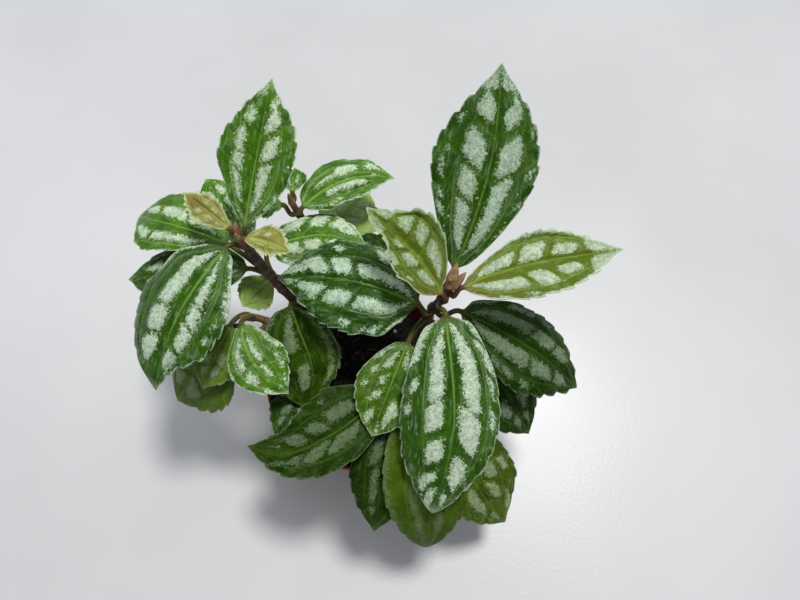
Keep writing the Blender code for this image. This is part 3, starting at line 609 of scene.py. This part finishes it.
def level_ring(radius, height, count, x=0.0, y=0.0):
    return ring_at(np.array([x, y, height]), np.array([1.0, 0.0, 0.0]), np.array([0.0, 1.0, 0.0]),
                   radius, radius, count)


def tube_faces(rings, count):
    """Faces of a tube with closed ends."""
    faces = []
    for i in range(rings - 1):
        for j in range(count):
            k = (j + 1) % count
            faces.append((i * count + j, i * count + k, (i + 1) * count + k, (i + 1) * count + j))
    return faces + [tuple(range(count))[::-1], tuple((rings - 1) * count + j for j in range(count))]


def shifted(faces, start):
    return [tuple(start + corner for corner in face) for face in faces]


def tube_piece(name, rings, material, values=None):
    return piece(name, np.vstack(rings), tube_faces(len(rings), len(rings[0])), material, values)


def smooth_line(points, steps):
    """A smooth curve through the points, with steps pieces between each two."""
    rows = np.array(points, float)
    ends = np.vstack([2 * rows[0] - rows[1], rows, 2 * rows[-1] - rows[-2]])
    line = []
    for a, b, c, d in zip(ends, ends[1:], ends[2:], ends[3:]):
        for t in np.arange(steps) / steps:
            line.append(b + 0.5 * t * (c - a + t * (2 * a - 5 * b + 4 * c - d
                                                    + t * (3 * b - a - 3 * c + d))))
    return np.array(line + [rows[-1]])


def node_heights(stem):
    return sorted({spec.height for spec in LEAVES if spec.stem == stem})


def stem_at(stem, heights):
    """Centres and radii of a stem at those heights, with its swollen nodes."""
    line = smooth_line(STEMS[stem], 12)
    heights = np.atleast_1d(np.asarray(heights, float))
    rows = np.stack([np.interp(heights, line[:, 2], line[:, i]) for i in range(4)], 1)
    for node in node_heights(stem):
        rows[:, 3] *= 1 + NODE_SWELL * bell(heights - node, NODE_SPREAD)
    return rows


# Leaves. The columns of points lie from the midrib, 0, over the side vein, 0.5, to the margin, 1

COLUMNS = np.array([0.0, 0.03, 0.07, 0.12, 0.18, 0.25, 0.32, 0.38, 0.43, 0.47, 0.5, 0.53, 0.57,
                    0.62, 0.68, 0.74, 0.80, 0.86, 0.91, 0.95, 0.98, 1.0])
BASE_SHARES = [0.0, 0.008, 0.018, 0.03, 0.045]
TIP_SHARES = [0.985, 0.992, 0.997, 1.0]
LONG_BLADE = 30
BLADE_MIDDLE_THICKNESS = 0.55
BLADE_EDGE_THICKNESS = 0.26
TOOTH_DEPTH = 0.75
TOOTH_LEAN = 0.9
TOOTH_PEAK = 0.8
SHARP_TIPPED = ("right_side",)
TIP_ROUNDING = 0.17
PATCH_SLANT = 0.085
PATCH_CORNER = 0.6
VEIN_START = 0.5
NO_SILVER = -2.2
OFF_BLADE = 3.0
MIDRIB_SINK = 0.62
SIDE_SINK = 0.55
CROSS_SINK = 0.42
PATCH_RISE = 0.5


def heading(turn, lift):
    """Ahead, left and up of something that heads to turn and climbs at lift."""
    turn, lift = math.radians(turn), math.radians(lift)
    ahead = np.array([math.cos(lift) * math.cos(turn), math.cos(lift) * math.sin(turn),
                      math.sin(lift)])
    left = np.array([-math.sin(turn), math.cos(turn), 0.0])
    return ahead, left, np.cross(ahead, left)


def side_share(knots, share):
    """A factor eased from each (share, factor) knot to the next."""
    if not knots or share <= knots[0][0]:
        return knots[0][1] if knots else 1.0
    for (low, first), (high, last) in zip(knots, knots[1:]):
        if share <= high:
            return first + (last - first) * float(smooth_step(low, high, share))
    return knots[-1][1]


def half_width(spec, share):
    """The blade's width left and right of its middle line, before the teeth."""
    swell = max(math.sin(math.pi * min(share, 1.0) ** spec.belly), 0.0)
    body = spec.width / 2 * swell ** (spec.heel + (spec.point - spec.heel) * share)
    start = min(max((share - 0.6) / 0.3, 0.0), 1.0)
    blunt = TIP_ROUNDING * spec.width * start * math.sqrt(max(1.0 - share, 0.0))
    half = math.hypot(body, blunt)
    return half * side_share(spec.left, share), half * side_share(spec.right, share)


def blade_middle(spec, shares):
    """Points of the blade's middle line with their ways ahead, left and up."""
    steps = 200
    fine = np.linspace(0, 1, steps + 1)
    lifts = spec.lift - spec.droop * fine ** 1.3
    turns = spec.turn + spec.sweep * fine
    ahead = np.array([heading(turn, lift)[0] for turn, lift in zip(turns, lifts)])
    moves = (ahead[1:] + ahead[:-1]) / 2 * spec.length / steps
    run = np.vstack([np.zeros(3), np.cumsum(moves, 0)]) + np.array(spec.base, float)
    middle = []
    for share in shares:
        point = np.array([np.interp(share, fine, run[:, i]) for i in range(3)])
        middle.append((point, heading(np.interp(share, fine, turns), np.interp(share, fine, lifts))))
    return middle


def tooth_places(spec):
    """Shares of the length where the notches and the tooth tips are."""
    count = spec.teeth + (4 if spec.young and not spec.wide else 2)
    pitch = (LAST_TOOTH - FIRST_TOOTH + 0.06) / count
    notches = FIRST_TOOTH - 0.06 + pitch * np.arange(count + 1)
    return notches, notches[:-1] + pitch * TOOTH_PEAK


def tooth_profile(spec, shares):
    """How far the margin juts at each share of the length, from 0 at a notch to 1 at a tip."""
    notches, _ = tooth_places(spec)
    phase = (shares - notches[0]) / (notches[1] - notches[0])
    inside = (phase > 0) & (phase < len(notches) - 1)
    local = phase % 1.0
    rise = np.sin(np.clip(local / TOOTH_PEAK, 0, 1) * math.pi / 2) ** 0.9
    fall = np.clip((1 - local) / (1 - TOOTH_PEAK), 0, 1)
    return np.where(inside, np.minimum(rise, fall), 0.0)


def blade_shares(spec, rows):
    """Shares of the length where the blade has a ring: even ones, and each notch and tooth tip."""
    marks = np.concatenate(tooth_places(spec))
    body = [s for s in np.linspace(0.06, 0.975, rows) if np.min(np.abs(marks - s)) > 0.0035]
    return np.sort(np.concatenate([BASE_SHARES, body, marks, TIP_SHARES]))


def rounded_depth(sideways, lengthways, half_wide, half_long):
    """How deep a point lies in a rectangle with round corners, less than 0 outside."""
    curve = PATCH_CORNER * np.minimum(half_wide, half_long)
    x = np.abs(sideways) - half_wide + curve
    y = np.abs(lengthways) - half_long + curve
    return curve - np.hypot(np.maximum(x, 0), np.maximum(y, 0)) - np.minimum(np.maximum(x, y), 0)


def patch_depth(patches, zone, along, row_width, length):
    """How deep each point lies in the nearest patch, in millimetres, less than 0 outside."""
    best = np.full(zone.shape, NO_SILVER)
    for first, last, inner, outer, *lean in patches:
        centre = (inner + outer) / 2
        slant = PATCH_SLANT * (lean[0] if lean else 1.0) if outer < 2.15 else 0.0
        sheared = along - slant * (zone - centre)
        depth = rounded_depth((zone - centre) * row_width, (sheared - (first + last) / 2) * length,
                              (outer - inner) / 2 * row_width, (last - first) / 2 * length)
        best = np.maximum(best, depth)
    return best


def cross_vein(patches, zone, along, length):
    """How near each point is to a cross vein, from 0 to 1. They run between the patches."""
    rows = sorted(patch for patch in patches if patch[2] < 0.9)
    share = np.zeros(zone.shape)
    for before, after in zip(rows, rows[1:]):
        centre = (before[1] + after[0]) / 2
        away = (along - PATCH_SLANT * (zone - 0.5) - centre) * length
        share = np.maximum(share, bell(away, 0.42))
    return share * smooth_step(2.0, 1.6, zone)


def stalk_rings(spec, way, count):
    """Rings of the stalk, from inside the stem's skin to the blade's base."""
    root = stem_at(spec.stem, spec.height)[0]
    above, below = stem_at(spec.stem, [spec.height + 1, spec.height - 1])[:, :3]
    along = unit(above - below)
    ahead, left, _ = way
    base = np.array(spec.base, float)
    toward = base - 0.45 * np.linalg.norm(base - root[:3]) * ahead - root[:3]
    square = unit(toward - along * (toward @ along))
    start = root[:3] + square * (root[3] + 0.55)
    reach = np.linalg.norm(base - start)
    bend_out = start + square * reach * 0.38
    bend_in = base - ahead * reach * 0.36
    turns = math.pi / count * (np.arange(count) + 0.5)
    upper = np.stack([-np.cos(turns), np.sin(turns)], 1)
    circle = np.concatenate([upper, -upper]) * STALK_RADIUS
    rings = []
    for t in [-1.0, *np.linspace(0, 1, 12)[:-1]]:
        s = 1 - t
        if t < 0:
            centre, course = start - square * 0.9, square
        else:
            centre = (s ** 3 * start + 3 * t * s * s * bend_out + 3 * t * t * s * bend_in
                      + t ** 3 * base)
            course = unit(s * s * (bend_out - start) + 2 * t * s * (bend_in - bend_out)
                          + t * t * (base - bend_in))
        side = unit(left - course * (left @ course))
        outline = circle * (1.0 + 0.16 * math.exp(-max(t, 0.0) / 0.12))
        rings.append(centre + outline[:, :1] * side + outline[:, 1:] * np.cross(course, side))
    return rings, circle


def leaf_grid(spec, look, rows):
    """Rings of points along a leaf, and the numbers that its colours are made from.

    A ring runs over the upper face from the leaf's right margin to its left one and back below.
    """
    shares = blade_shares(spec, rows)
    middle = blade_middle(spec, shares)
    sides = np.concatenate([-COLUMNS[:0:-1], COLUMNS])
    count = len(sides)
    rings, circle = stalk_rings(spec, middle[0][1], count)
    stalk_count = len(rings)
    t = shares[:, None]
    size = np.abs(sides)[None, :]
    zone = np.broadcast_to(2 * size, (len(shares), count))

    def by_side(left, right):
        return np.where(sides[None, :] >= 0, left, right)

    halves = np.array([half_width(spec, share) for share in shares])
    half = np.maximum(by_side(halves[:, :1], halves[:, 1:]),
                      0.75 * (1 - smooth_step(0.0, 0.35, t)) + 0.05)
    # The midrib and the side veins
    mid = np.interp(t, (0, 0.5, 1), look.middle)
    mid = mid * smooth_step(0.0, 0.12, t) * (1 - smooth_step(0.9, 1.0, t))
    veer = VEIN_START + (1 - VEIN_START) * smooth_step(0.0, 0.2, t)
    vein = by_side(*look.side) * veer - 0.14 * smooth_step(0.7, 1.0, t)
    room = by_side(1 - mid, 1 + mid)
    sign = by_side(1.0, -1.0)
    out = np.where(size <= 0.5, 2 * size * vein, vein + (2 * size - 1) * (1 - vein))
    across = mid + sign * room * out
    from_mid = (across - mid) * half
    from_side = sign * from_mid - vein * room * half
    from_margin = (1 - np.abs(across)) * half
    row_width = np.where(zone < 1, vein, 1 - vein) * room * half
    along = np.broadcast_to(t, zone.shape)
    patch_rows = (look.left, look.right)
    depth = by_side(*(patch_depth(patches, zone, along, row_width, spec.length)
                      for patches in patch_rows))
    crossing = by_side(*(cross_vein(patches, zone, along, spec.length) for patches in patch_rows))
    crossing = crossing * smooth_step(0.02, 0.10, t)
    depth = np.maximum(depth, -2.0 + 1.35 * by_side(*look.rim) * smooth_step(1.2, 1.7, zone))
    # Relief
    wave = np.random.default_rng(hash_name(spec.name)).uniform(0, 6.28, 4)
    fade = np.where(t < 0.98, np.sin(np.pi * np.minimum(t * 1.02, 1.0)) ** 0.5, 0.2)
    quilt = np.interp(np.abs(across), (0, 0.26, 0.52, 1), (-1, 0.6, -0.3, 0))
    ripple = 0.30 * np.sin(9.0 * np.pi * t + wave[0]) + 0.35 * np.sin(5.0 * np.pi * t + wave[1])
    lift = PATCH_RISE * smooth_step(-1.4, 1.6, depth) * (zone < 1.15)
    lift = lift - MIDRIB_SINK * bell(from_mid, 0.75) - SIDE_SINK * bell(from_side, 0.62)
    lift = lift - CROSS_SINK * crossing + ripple * smooth_step(1.0, 2.0, zone) * by_side(1.0, 0.8)
    lift = lift + 0.16 * np.sin(across * 7 + wave[2] + 11 * t)
    lift = lift + 0.10 * np.sin(across * 17 + wave[3] + 31 * t) * (zone > 0.2)
    lift = 0.55 * QUILTING * np.sin(np.pi * t) * quilt + lift * fade
    thick = np.interp(zone, (0, 1.2, 2), (BLADE_MIDDLE_THICKNESS, BLADE_MIDDLE_THICKNESS,
                                          BLADE_EDGE_THICKNESS))
    rib = (STALK_RADIUS - BLADE_MIDDLE_THICKNESS / 2) * (1 - t) ** 1.5 * bell(from_mid, 1.0)
    rib = rib + 0.12 * fade * bell(from_side, 0.6)
    # Teeth
    teeth = max(spec.width / 34, 0.62) * tooth_profile(spec, shares)[:, None]
    growth = 1.0
    if spec.young:
        growth = 1.5 if spec.wide else 2.3
    if spec.name in SHARP_TIPPED:
        growth = 1 + 0.8 * smooth_step(0.3, 0.7, t)
    else:
        teeth = teeth * (1 - 0.8 * smooth_step(0.80, 0.93, t))
    jut = TOOTH_DEPTH * growth * teeth * np.clip((zone - 1.5) / 0.5, 0, 1) ** 2
    forward = TOOTH_LEAN * teeth * np.clip((zone - 1.6) / 0.4, 0, 1) ** 2
    # Shape
    bend = spec.width / 2 / math.radians(spec.cup)
    angle = (across * half + sign * jut) / bend
    outwards = np.stack([np.sin(angle), np.cos(angle)], 2)
    skin = bend * (outwards - (0.0, 1.0))
    upper = skin + outwards * (lift + thick / 2)[:, :, None]
    lower = skin + outwards * (lift - thick / 2 - rib)[:, :, None]
    outlines = np.concatenate([upper, lower[:, ::-1]], 1)
    grown = smooth_step(0.0, 0.05, shares)
    for i, (point, (ahead, left, up)) in enumerate(middle):
        outline = circle * (1 - grown[i]) + outlines[i] * grown[i]
        ring = point + outline[:, :1] * left + outline[:, 1:] * up
        rings.append(ring + np.concatenate([forward[i], forward[i][::-1]])[:, None] * ahead)
    # Each name has its numbers on the upper face, below and on the stalk
    nothing = np.zeros(zone.shape)
    at_base = nothing + 1 - smooth_step(0.0, 0.06, t)
    values = {}
    for key, over, below, on_stalk in (
            ("silver", depth, depth, NO_SILVER), ("middle", from_mid, from_mid, OFF_BLADE),
            ("side", from_side, from_side, OFF_BLADE), ("cross", crossing, crossing, 0.0),
            ("margin", from_margin, from_margin, OFF_BLADE), ("along", along, along, 0.0),
            ("under", nothing, nothing + 1, 0.0), ("stalk", at_base, at_base, 1.0)):
        blade = np.concatenate([over, below[:, ::-1]], 1)
        values[key] = np.vstack([np.full((stalk_count, 2 * count), on_stalk), blade]).ravel()
    return rings, values


def make_leaf(spec, look, material, quick):
    rows = (42 if quick else 84) if spec.length > LONG_BLADE else (30 if quick else 46)
    rings, values = leaf_grid(spec, look, rows)
    return tube_piece("blade_" + spec.name, rings, material, values)


# Stems

SCALE_SIDES = 20
SCALE_RINGS = 18
BUD_SCALES = [
    ("bud_right_inner", (31.6, 14.2, 112.8), (34.4, 21.2, 118.6), 3.8, 1.6),
    ("bud_right_outer", (32.8, 14.4, 112.3), (37.4, 18.6, 117.2), 2.8, 1.3),
    ("bud_left_inner", (-41.2, 34.9, 110.8), (-41.6, 39.0, 115.8), 2.2, 1.1),
]


def make_stem(stem, material, quick):
    path = STEMS[stem]
    sides = 12 if quick else 20
    top = path[-1][2]
    bud_start = path[-3][2]
    heights = np.linspace(path[0][2], top, 60 if quick else 150)
    rows = stem_at(stem, heights)
    turns = round_turns(sides)
    phase = np.random.default_rng(hash_name(stem)).uniform(0, 6.28, 2)
    knots = np.zeros(len(heights))
    for node in node_heights(stem):
        knots += 0.10 * bell(heights - node - 0.2, 0.45) - 0.07 * bell(heights - node - 1.3, 0.35)
    rings = []
    for i, (row, height, knot) in enumerate(zip(rows, heights, knots)):
        along = unit(rows[min(i + 1, len(rows) - 1)][:3] - rows[max(i - 1, 0)][:3])
        side = unit(np.cross((0.0, 1.0, 0.2), along))
        ridge = 0.05 * np.sin(3 * turns + phase[0] + height * 0.10)
        ridge = ridge + 0.03 * np.sin(7 * turns + phase[1] - height * 0.22)
        radius = row[3] * (0.98 + ridge + knot)
        rings.append(ring_at(row[:3], side, np.cross(along, side), radius, radius, sides))
    values = {"rise": (heights - SOIL_TOP) / (top - SOIL_TOP), "scar": np.clip(knots * 7, 0, 1),
              "bud": smooth_step(bud_start - 1.0, bud_start + 1.5, heights)}
    return tube_piece("stalk_" + stem, rings, material,
                      {key: np.repeat(numbers, sides) for key, numbers in values.items()})


def make_scale(name, base, tip, width, thick, material):
    """A pointed bud scale, closed all round, from its base to its tip."""
    base = np.array(base)
    reach = np.array(tip) - base
    along = unit(reach)
    side = unit(np.cross(along, (0.0, 0.0, 1.0)))
    up = np.cross(side, along)
    hollow = 1 - 0.35 * np.abs(np.cos(round_turns(SCALE_SIDES))) ** 3
    rings = []
    for t in np.linspace(0.0, 1.0, SCALE_RINGS):
        swell = max(math.sin(math.pi * (0.15 + 0.85 * t)), 0.0) ** 0.85 + 0.03
        centre = base + t * reach + up * 0.12 * width * math.sin(math.pi * t)
        rings.append(ring_at(centre, side, up, width / 2 * swell, thick / 2 * swell * hollow,
                             SCALE_SIDES))
    ones = np.ones(SCALE_SIDES * SCALE_RINGS)
    return tube_piece(name, rings, material, {"rise": ones, "scar": 0 * ones, "bud": ones})


# Pot

def rounded(points):
    """A closed profile from (radius, height, size of the corner's rounding)."""
    out = []
    for i, (*here, size) in enumerate(points):
        here = np.array(here)
        if size == 0:
            out.append(here)
            continue
        before = np.array(points[i - 1][:2]) - here
        after = np.array(points[(i + 1) % len(points)][:2]) - here
        start = here + unit(before) * min(size, 0.45 * np.linalg.norm(before))
        end = here + unit(after) * min(size, 0.45 * np.linalg.norm(after))
        for t in np.linspace(0, 1, 5):
            out.append((1 - t) ** 2 * start + 2 * t * (1 - t) * here + t * t * end)
    return out


def pot_radius(height):
    under_collar = POT_RIM_RADIUS - COLLAR_TAPER - COLLAR_STEP
    share = height / (POT_HEIGHT - COLLAR_HEIGHT)
    return POT_FOOT_RADIUS + (under_collar - POT_FOOT_RADIUS) * share


def drain_cutter(material):
    points = []
    faces = []
    for turn in math.pi * (2 * np.arange(DRAIN_COUNT) + 1) / DRAIN_COUNT:
        x = DRAIN_CIRCLE * math.cos(turn)
        y = DRAIN_CIRCLE * math.sin(turn)
        faces += shifted(tube_faces(2, DRAIN_SIDES), DRAIN_SIDES * len(points))
        points += [level_ring(DRAIN_RADIUS, z, DRAIN_SIDES, x, y) for z in (-2.0, POT_WALL + 2.0)]
    return piece("drain_cutter", np.vstack(points), faces, material)


def make_pot(material, quick):
    collar = POT_HEIGHT - COLLAR_HEIGHT
    wall = pot_radius(collar)
    lip = POT_RIM_RADIUS - COLLAR_TAPER
    profile = rounded([
        (POT_RIM_RADIUS - POT_WALL - 0.1, POT_HEIGHT, 0.5), (POT_RIM_RADIUS, POT_HEIGHT, 0.55),
        (POT_RIM_RADIUS - 0.05, POT_HEIGHT - 1.6, 0.3), (POT_RIM_RADIUS - 0.35, POT_HEIGHT - 1.9, 0.3),
        (lip, collar, 0.35), (lip - 0.9, collar - 0.2, 0.3), (wall + 0.1, collar - 0.5, 0.5),
        (pot_radius(40.0), 40.0, 0), (pot_radius(20.0), 20.0, 0),
        (pot_radius(1.0) + 0.05, 1.0, 0.8), (POT_FOOT_RADIUS - 1.0, 0.0, 0.5),
        (POT_FOOT_RADIUS - 2.4, 0.0, 0.4), (POT_FOOT_RADIUS - 3.0, 0.5, 0.4),
        (4.0, 0.5, 0.3), (3.5, 0.0, 0.3), (0.001, 0.0, 0),
        (0.001, POT_WALL, 0), (pot_radius(POT_WALL) - POT_WALL, POT_WALL, 1.5),
        (wall - POT_WALL, collar - 1.5, 0.5), (lip - POT_WALL, collar + 1.2, 0.5),
    ])
    sides = 72 if quick else 144
    faces = []
    for i in range(len(profile)):
        here = i * sides
        there = (i + 1) % len(profile) * sides
        for k in range(sides):
            n = (k + 1) % sides
            faces.append((here + k, there + k, there + n, here + n))
    pot = piece("pot_shell", np.vstack([level_ring(*spot, sides) for spot in profile]), faces,
                material)
    cutter = drain_cutter(material)
    boolean = pot.modifiers.new("drains", "BOOLEAN")
    boolean.operation = "DIFFERENCE"
    boolean.solver = "EXACT"
    boolean.object = cutter
    bpy.context.view_layer.update()
    graph = bpy.context.evaluated_depsgraph_get()
    cut_mesh = bpy.data.meshes.new_from_object(pot.evaluated_get(graph))
    pot.modifiers.clear()
    pot.data = cut_mesh
    bpy.data.objects.remove(cutter, do_unlink=True)
    cut_mesh.polygons.foreach_set("use_smooth", [True] * len(cut_mesh.polygons))
    cut_mesh.set_sharp_from_angle(angle=math.radians(38))
    return pot


# Soil

SOIL_REACH = pot_radius(SOIL_NECK) - POT_WALL - 0.2
CRUMB_SINK = 0.25
FIBRE_COUNT = 46
FIBRE_STEPS = 9
FIBRE_SIDES = 6


def soil_height(x, y):
    waves = (np.sin(0.31 * x + 0.7) * np.cos(0.27 * y - 0.4)
             + 0.6 * np.sin(0.62 * y + 0.35 * x) + 0.4 * np.cos(0.83 * x - 0.5 * y))
    return SOIL_TOP + SOIL_BUMP * waves / 2


def make_soil(material, quick):
    sides = 72 if quick else 144
    steps = 20 if quick else 44
    rng = np.random.default_rng(11)
    floor = POT_WALL + 0.3
    rings = [level_ring(0.5, floor, sides),
             level_ring(pot_radius(floor) - POT_WALL - 0.4, floor, sides),
             level_ring(SOIL_REACH - 0.2, SOIL_NECK, sides)]
    for k in range(steps):
        radius = (SOIL_REACH + 1.0) * (1 - k / steps) + 0.2
        ring = level_ring(radius, 0.0, sides)
        x, y = ring[:, 0], ring[:, 1]
        rough = rng.normal(0, 0.22, sides) * (0.4 + 0.6 * min(1, radius / 8))
        lump = 0.35 * np.sin(1.3 * x + 0.9 * y) * np.cos(1.1 * y - 0.6 * x)
        edge = -0.9 * smooth_step(SOIL_REACH - 3.0, SOIL_REACH + 1.0, radius)
        ring[:, 2] = soil_height(x, y) + rough + lump + edge
        rings.append(ring)
    return tube_piece("potting_mix", rings, material)


def round_shape():
    """A twenty-sided lump."""
    golden = (1 + math.sqrt(5)) / 2
    corners = []
    for a in (-1, 1):
        for b in (-golden, golden):
            corners += [(a, b, 0), (0, a, b), (b, 0, a)]
    corners = np.array(corners, float)
    corners /= np.linalg.norm(corners[0])
    faces = []
    for i in range(12):
        for j in range(i + 1, 12):
            for k in range(j + 1, 12):
                a, b, c = corners[[i, j, k]]
                if max(np.linalg.norm(a - b), np.linalg.norm(b - c), np.linalg.norm(a - c)) < 1.2:
                    faces.append((i, j, k) if np.cross(b - a, c - a) @ a > 0 else (i, k, j))
    return corners, faces


def finer(corners, faces):
    """The same lump with each face split into four."""
    points = list(corners)
    seen = {}
    out = []

    def halfway(a, b):
        key = (min(a, b), max(a, b))
        if key not in seen:
            seen[key] = len(points)
            points.append(unit(corners[a] + corners[b]))
        return seen[key]

    for a, b, c in faces:
        ab, bc, ca = halfway(a, b), halfway(b, c), halfway(c, a)
        out += [(a, ab, ca), (b, bc, ab), (c, ca, bc), (ab, bc, ca)]
    return np.array(points), out


def scatter(name, material, count, sizes, flat, seed, rough, fine=False):
    """Many small lumps on the soil, as one piece."""
    rng = np.random.default_rng(seed)
    corners, faces = round_shape()
    if fine:
        corners, faces = finer(corners, faces)
    points = []
    all_faces = []
    tints = []
    reach = SOIL_REACH + 0.3
    for i in range(count):
        radius = reach * math.sqrt(rng.uniform(0, 1))
        turn = rng.uniform(0, 2 * math.pi)
        x = radius * math.cos(turn)
        y = radius * math.sin(turn)
        size = sizes[0] + (sizes[1] - sizes[0]) * rng.uniform(0, 1) ** 2.2
        stretch = np.array([1.0, rng.uniform(0.6, 1.0), rng.uniform(*flat)])
        turned = np.linalg.qr(rng.normal(size=(3, 3)))[0]
        if np.linalg.det(turned) < 0:
            turned[:, 0] *= -1
        lump = corners * (1 + rng.uniform(-rough, rough, (len(corners), 1)))
        lump = (lump * stretch * size / 2) @ turned.T
        edge = 0.9 * smooth_step(reach - 3.0, reach + 0.7, radius)
        points.append(lump + (x, y, soil_height(x, y) + size * CRUMB_SINK * stretch[2] - edge))
        all_faces += shifted(faces, i * len(corners))
        tints.append(rng.uniform(0, 1))
    return piece(name, np.vstack(points), all_faces, material,
                 {"tint": np.repeat(tints, len(corners))}, smooth=False)


def make_fibres(material):
    """Thin dry fibres on the soil."""
    rng = np.random.default_rng(23)
    points = []
    faces = []
    tints = []
    for _ in range(FIBRE_COUNT):
        radius = (SOIL_REACH - 3) * math.sqrt(rng.uniform(0, 1))
        turn = rng.uniform(0, 2 * math.pi)
        here = np.array([radius * math.cos(turn), radius * math.sin(turn)])
        way = rng.uniform(0, 2 * math.pi)
        length = rng.uniform(3, 9)
        curl = rng.uniform(-0.25, 0.25)
        line = []
        for share in np.linspace(0, 1, FIBRE_STEPS):
            line.append([*here, soil_height(*here) + 0.5 + 0.5 * math.sin(math.pi * share)])
            here = here + length / FIBRE_STEPS * np.array([math.cos(way), math.sin(way)])
            way += curl
        line = np.array(line)
        if np.hypot(line[-1, 0], line[-1, 1]) > SOIL_REACH - 1.5:
            continue
        faces += shifted(tube_faces(FIBRE_STEPS, FIBRE_SIDES), FIBRE_SIDES * len(points))
        for i in range(FIBRE_STEPS):
            along = unit(line[min(i + 1, FIBRE_STEPS - 1)] - line[max(i - 1, 0)])
            side = unit(np.cross((0, 0, 1.0), along))
            size = 0.16 * (1 - 0.6 * abs(2 * i / (FIBRE_STEPS - 1) - 1))
            points.append(ring_at(line[i], side, np.cross(along, side), size, size, FIBRE_SIDES))
        tints.append(rng.uniform(0, 1))
    return piece("soil_fibres", np.vstack(points), faces, material,
                 {"tint": np.repeat(tints, FIBRE_SIDES * FIBRE_STEPS)})


# Stage

def make_stage():
    corners = [(-1, -1, 0), (1, -1, 0), (1, 1, 0), (-1, 1, 0)]
    floor = piece("floor", np.array(corners) * FLOOR_REACH, [(0, 1, 2, 3)], floor_material(),
                  smooth=False)
    world = bpy.data.worlds.new("studio")
    world.use_nodes = True
    world.node_tree.nodes["Background"].inputs["Color"].default_value = SKY_COLOUR
    world.node_tree.nodes["Background"].inputs["Strength"].default_value = SKY_STRENGTH
    bpy.context.scene.world = world
    bpy.context.scene.view_settings.view_transform = "Standard"
    for name, spot, size, power, colour in LAMPS:
        light = bpy.data.lights.new(name, "AREA")
        light.shape = "DISK"
        light.size = size
        light.energy = power
        light.color = colour
        lamp = add_object(name, light)
        lamp.location = spot
        x, y, z = np.array(LAMP_AIM) - np.array(spot)
        lamp.rotation_euler = (math.atan2(math.hypot(x, y), -z), 0.0, math.atan2(y, x) - math.pi / 2)


def make_camera():
    data = bpy.data.cameras.new("camera")
    data.lens = CAMERA_LENS
    data.sensor_width = SENSOR_WIDTH
    data.sensor_fit = "HORIZONTAL"
    data.clip_start = 0.01
    camera = add_object("camera", data)
    camera.location = [c * MM for c in CAMERA_PLACE]
    camera.rotation_euler = (math.radians(90.0 - CAMERA_DOWN), 0.0, 0.0)
    bpy.context.scene.camera = camera


def main():
    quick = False
    make_camera()
    make_stage()
    materials = {name: leaf_material(name, paint) for name, paint in PAINTS.items()}
    for spec in LEAVES:
        look = PATTERNS[spec.name]
        blade = make_leaf(spec, look, materials[look.paint], quick)
        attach(blade, "root")
        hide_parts("leaf_" + spec.name)
    bark = stem_material()
    for stem in STEMS:
        stalk = make_stem(stem, bark, quick)
        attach(stalk, "root")
        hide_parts("stem_" + stem)
    for name, base, tip, width, thick in BUD_SCALES:
        scale = make_scale(name, base, tip, width, thick, bark)
        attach(scale, "root")
    pot = make_pot(pot_material(), quick)
    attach(pot, "root")
    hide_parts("pot")
    soil = make_soil(soil_material(), quick)
    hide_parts("soil")
    crumbs = crumb_material("soil_crumb", (0.002, 0.001, 0.001), (0.016, 0.010, 0.006), 0.5, 0.9)
    perlite = crumb_material("perlite", (0.25, 0.24, 0.22), (0.70, 0.69, 0.66), 0.4, 0.85)
    bark_bits = crumb_material("bark_bit", (0.018, 0.010, 0.006), (0.07, 0.04, 0.024), 0.8, 0.8)
    fibre = crumb_material("fibre", (0.06, 0.035, 0.018), (0.20, 0.13, 0.08), 0.8, 0.7)
    share = 3 if quick else 1
    bits = [
        soil,
        scatter("soil_crumbs", crumbs, 1700 // share, (0.5, 2.8), (0.5, 1.0), 5, 0.35),
        scatter("soil_perlite", perlite, 80 // share, (0.4, 1.9), (0.6, 1.0), 6, 0.2, fine=True),
        scatter("soil_bark", bark_bits, 60 // share, (1.4, 4.2), (0.25, 0.5), 8, 0.3, fine=True),
        make_fibres(fibre),
    ]
    for bit in bits:
        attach(bit, "root")


main()
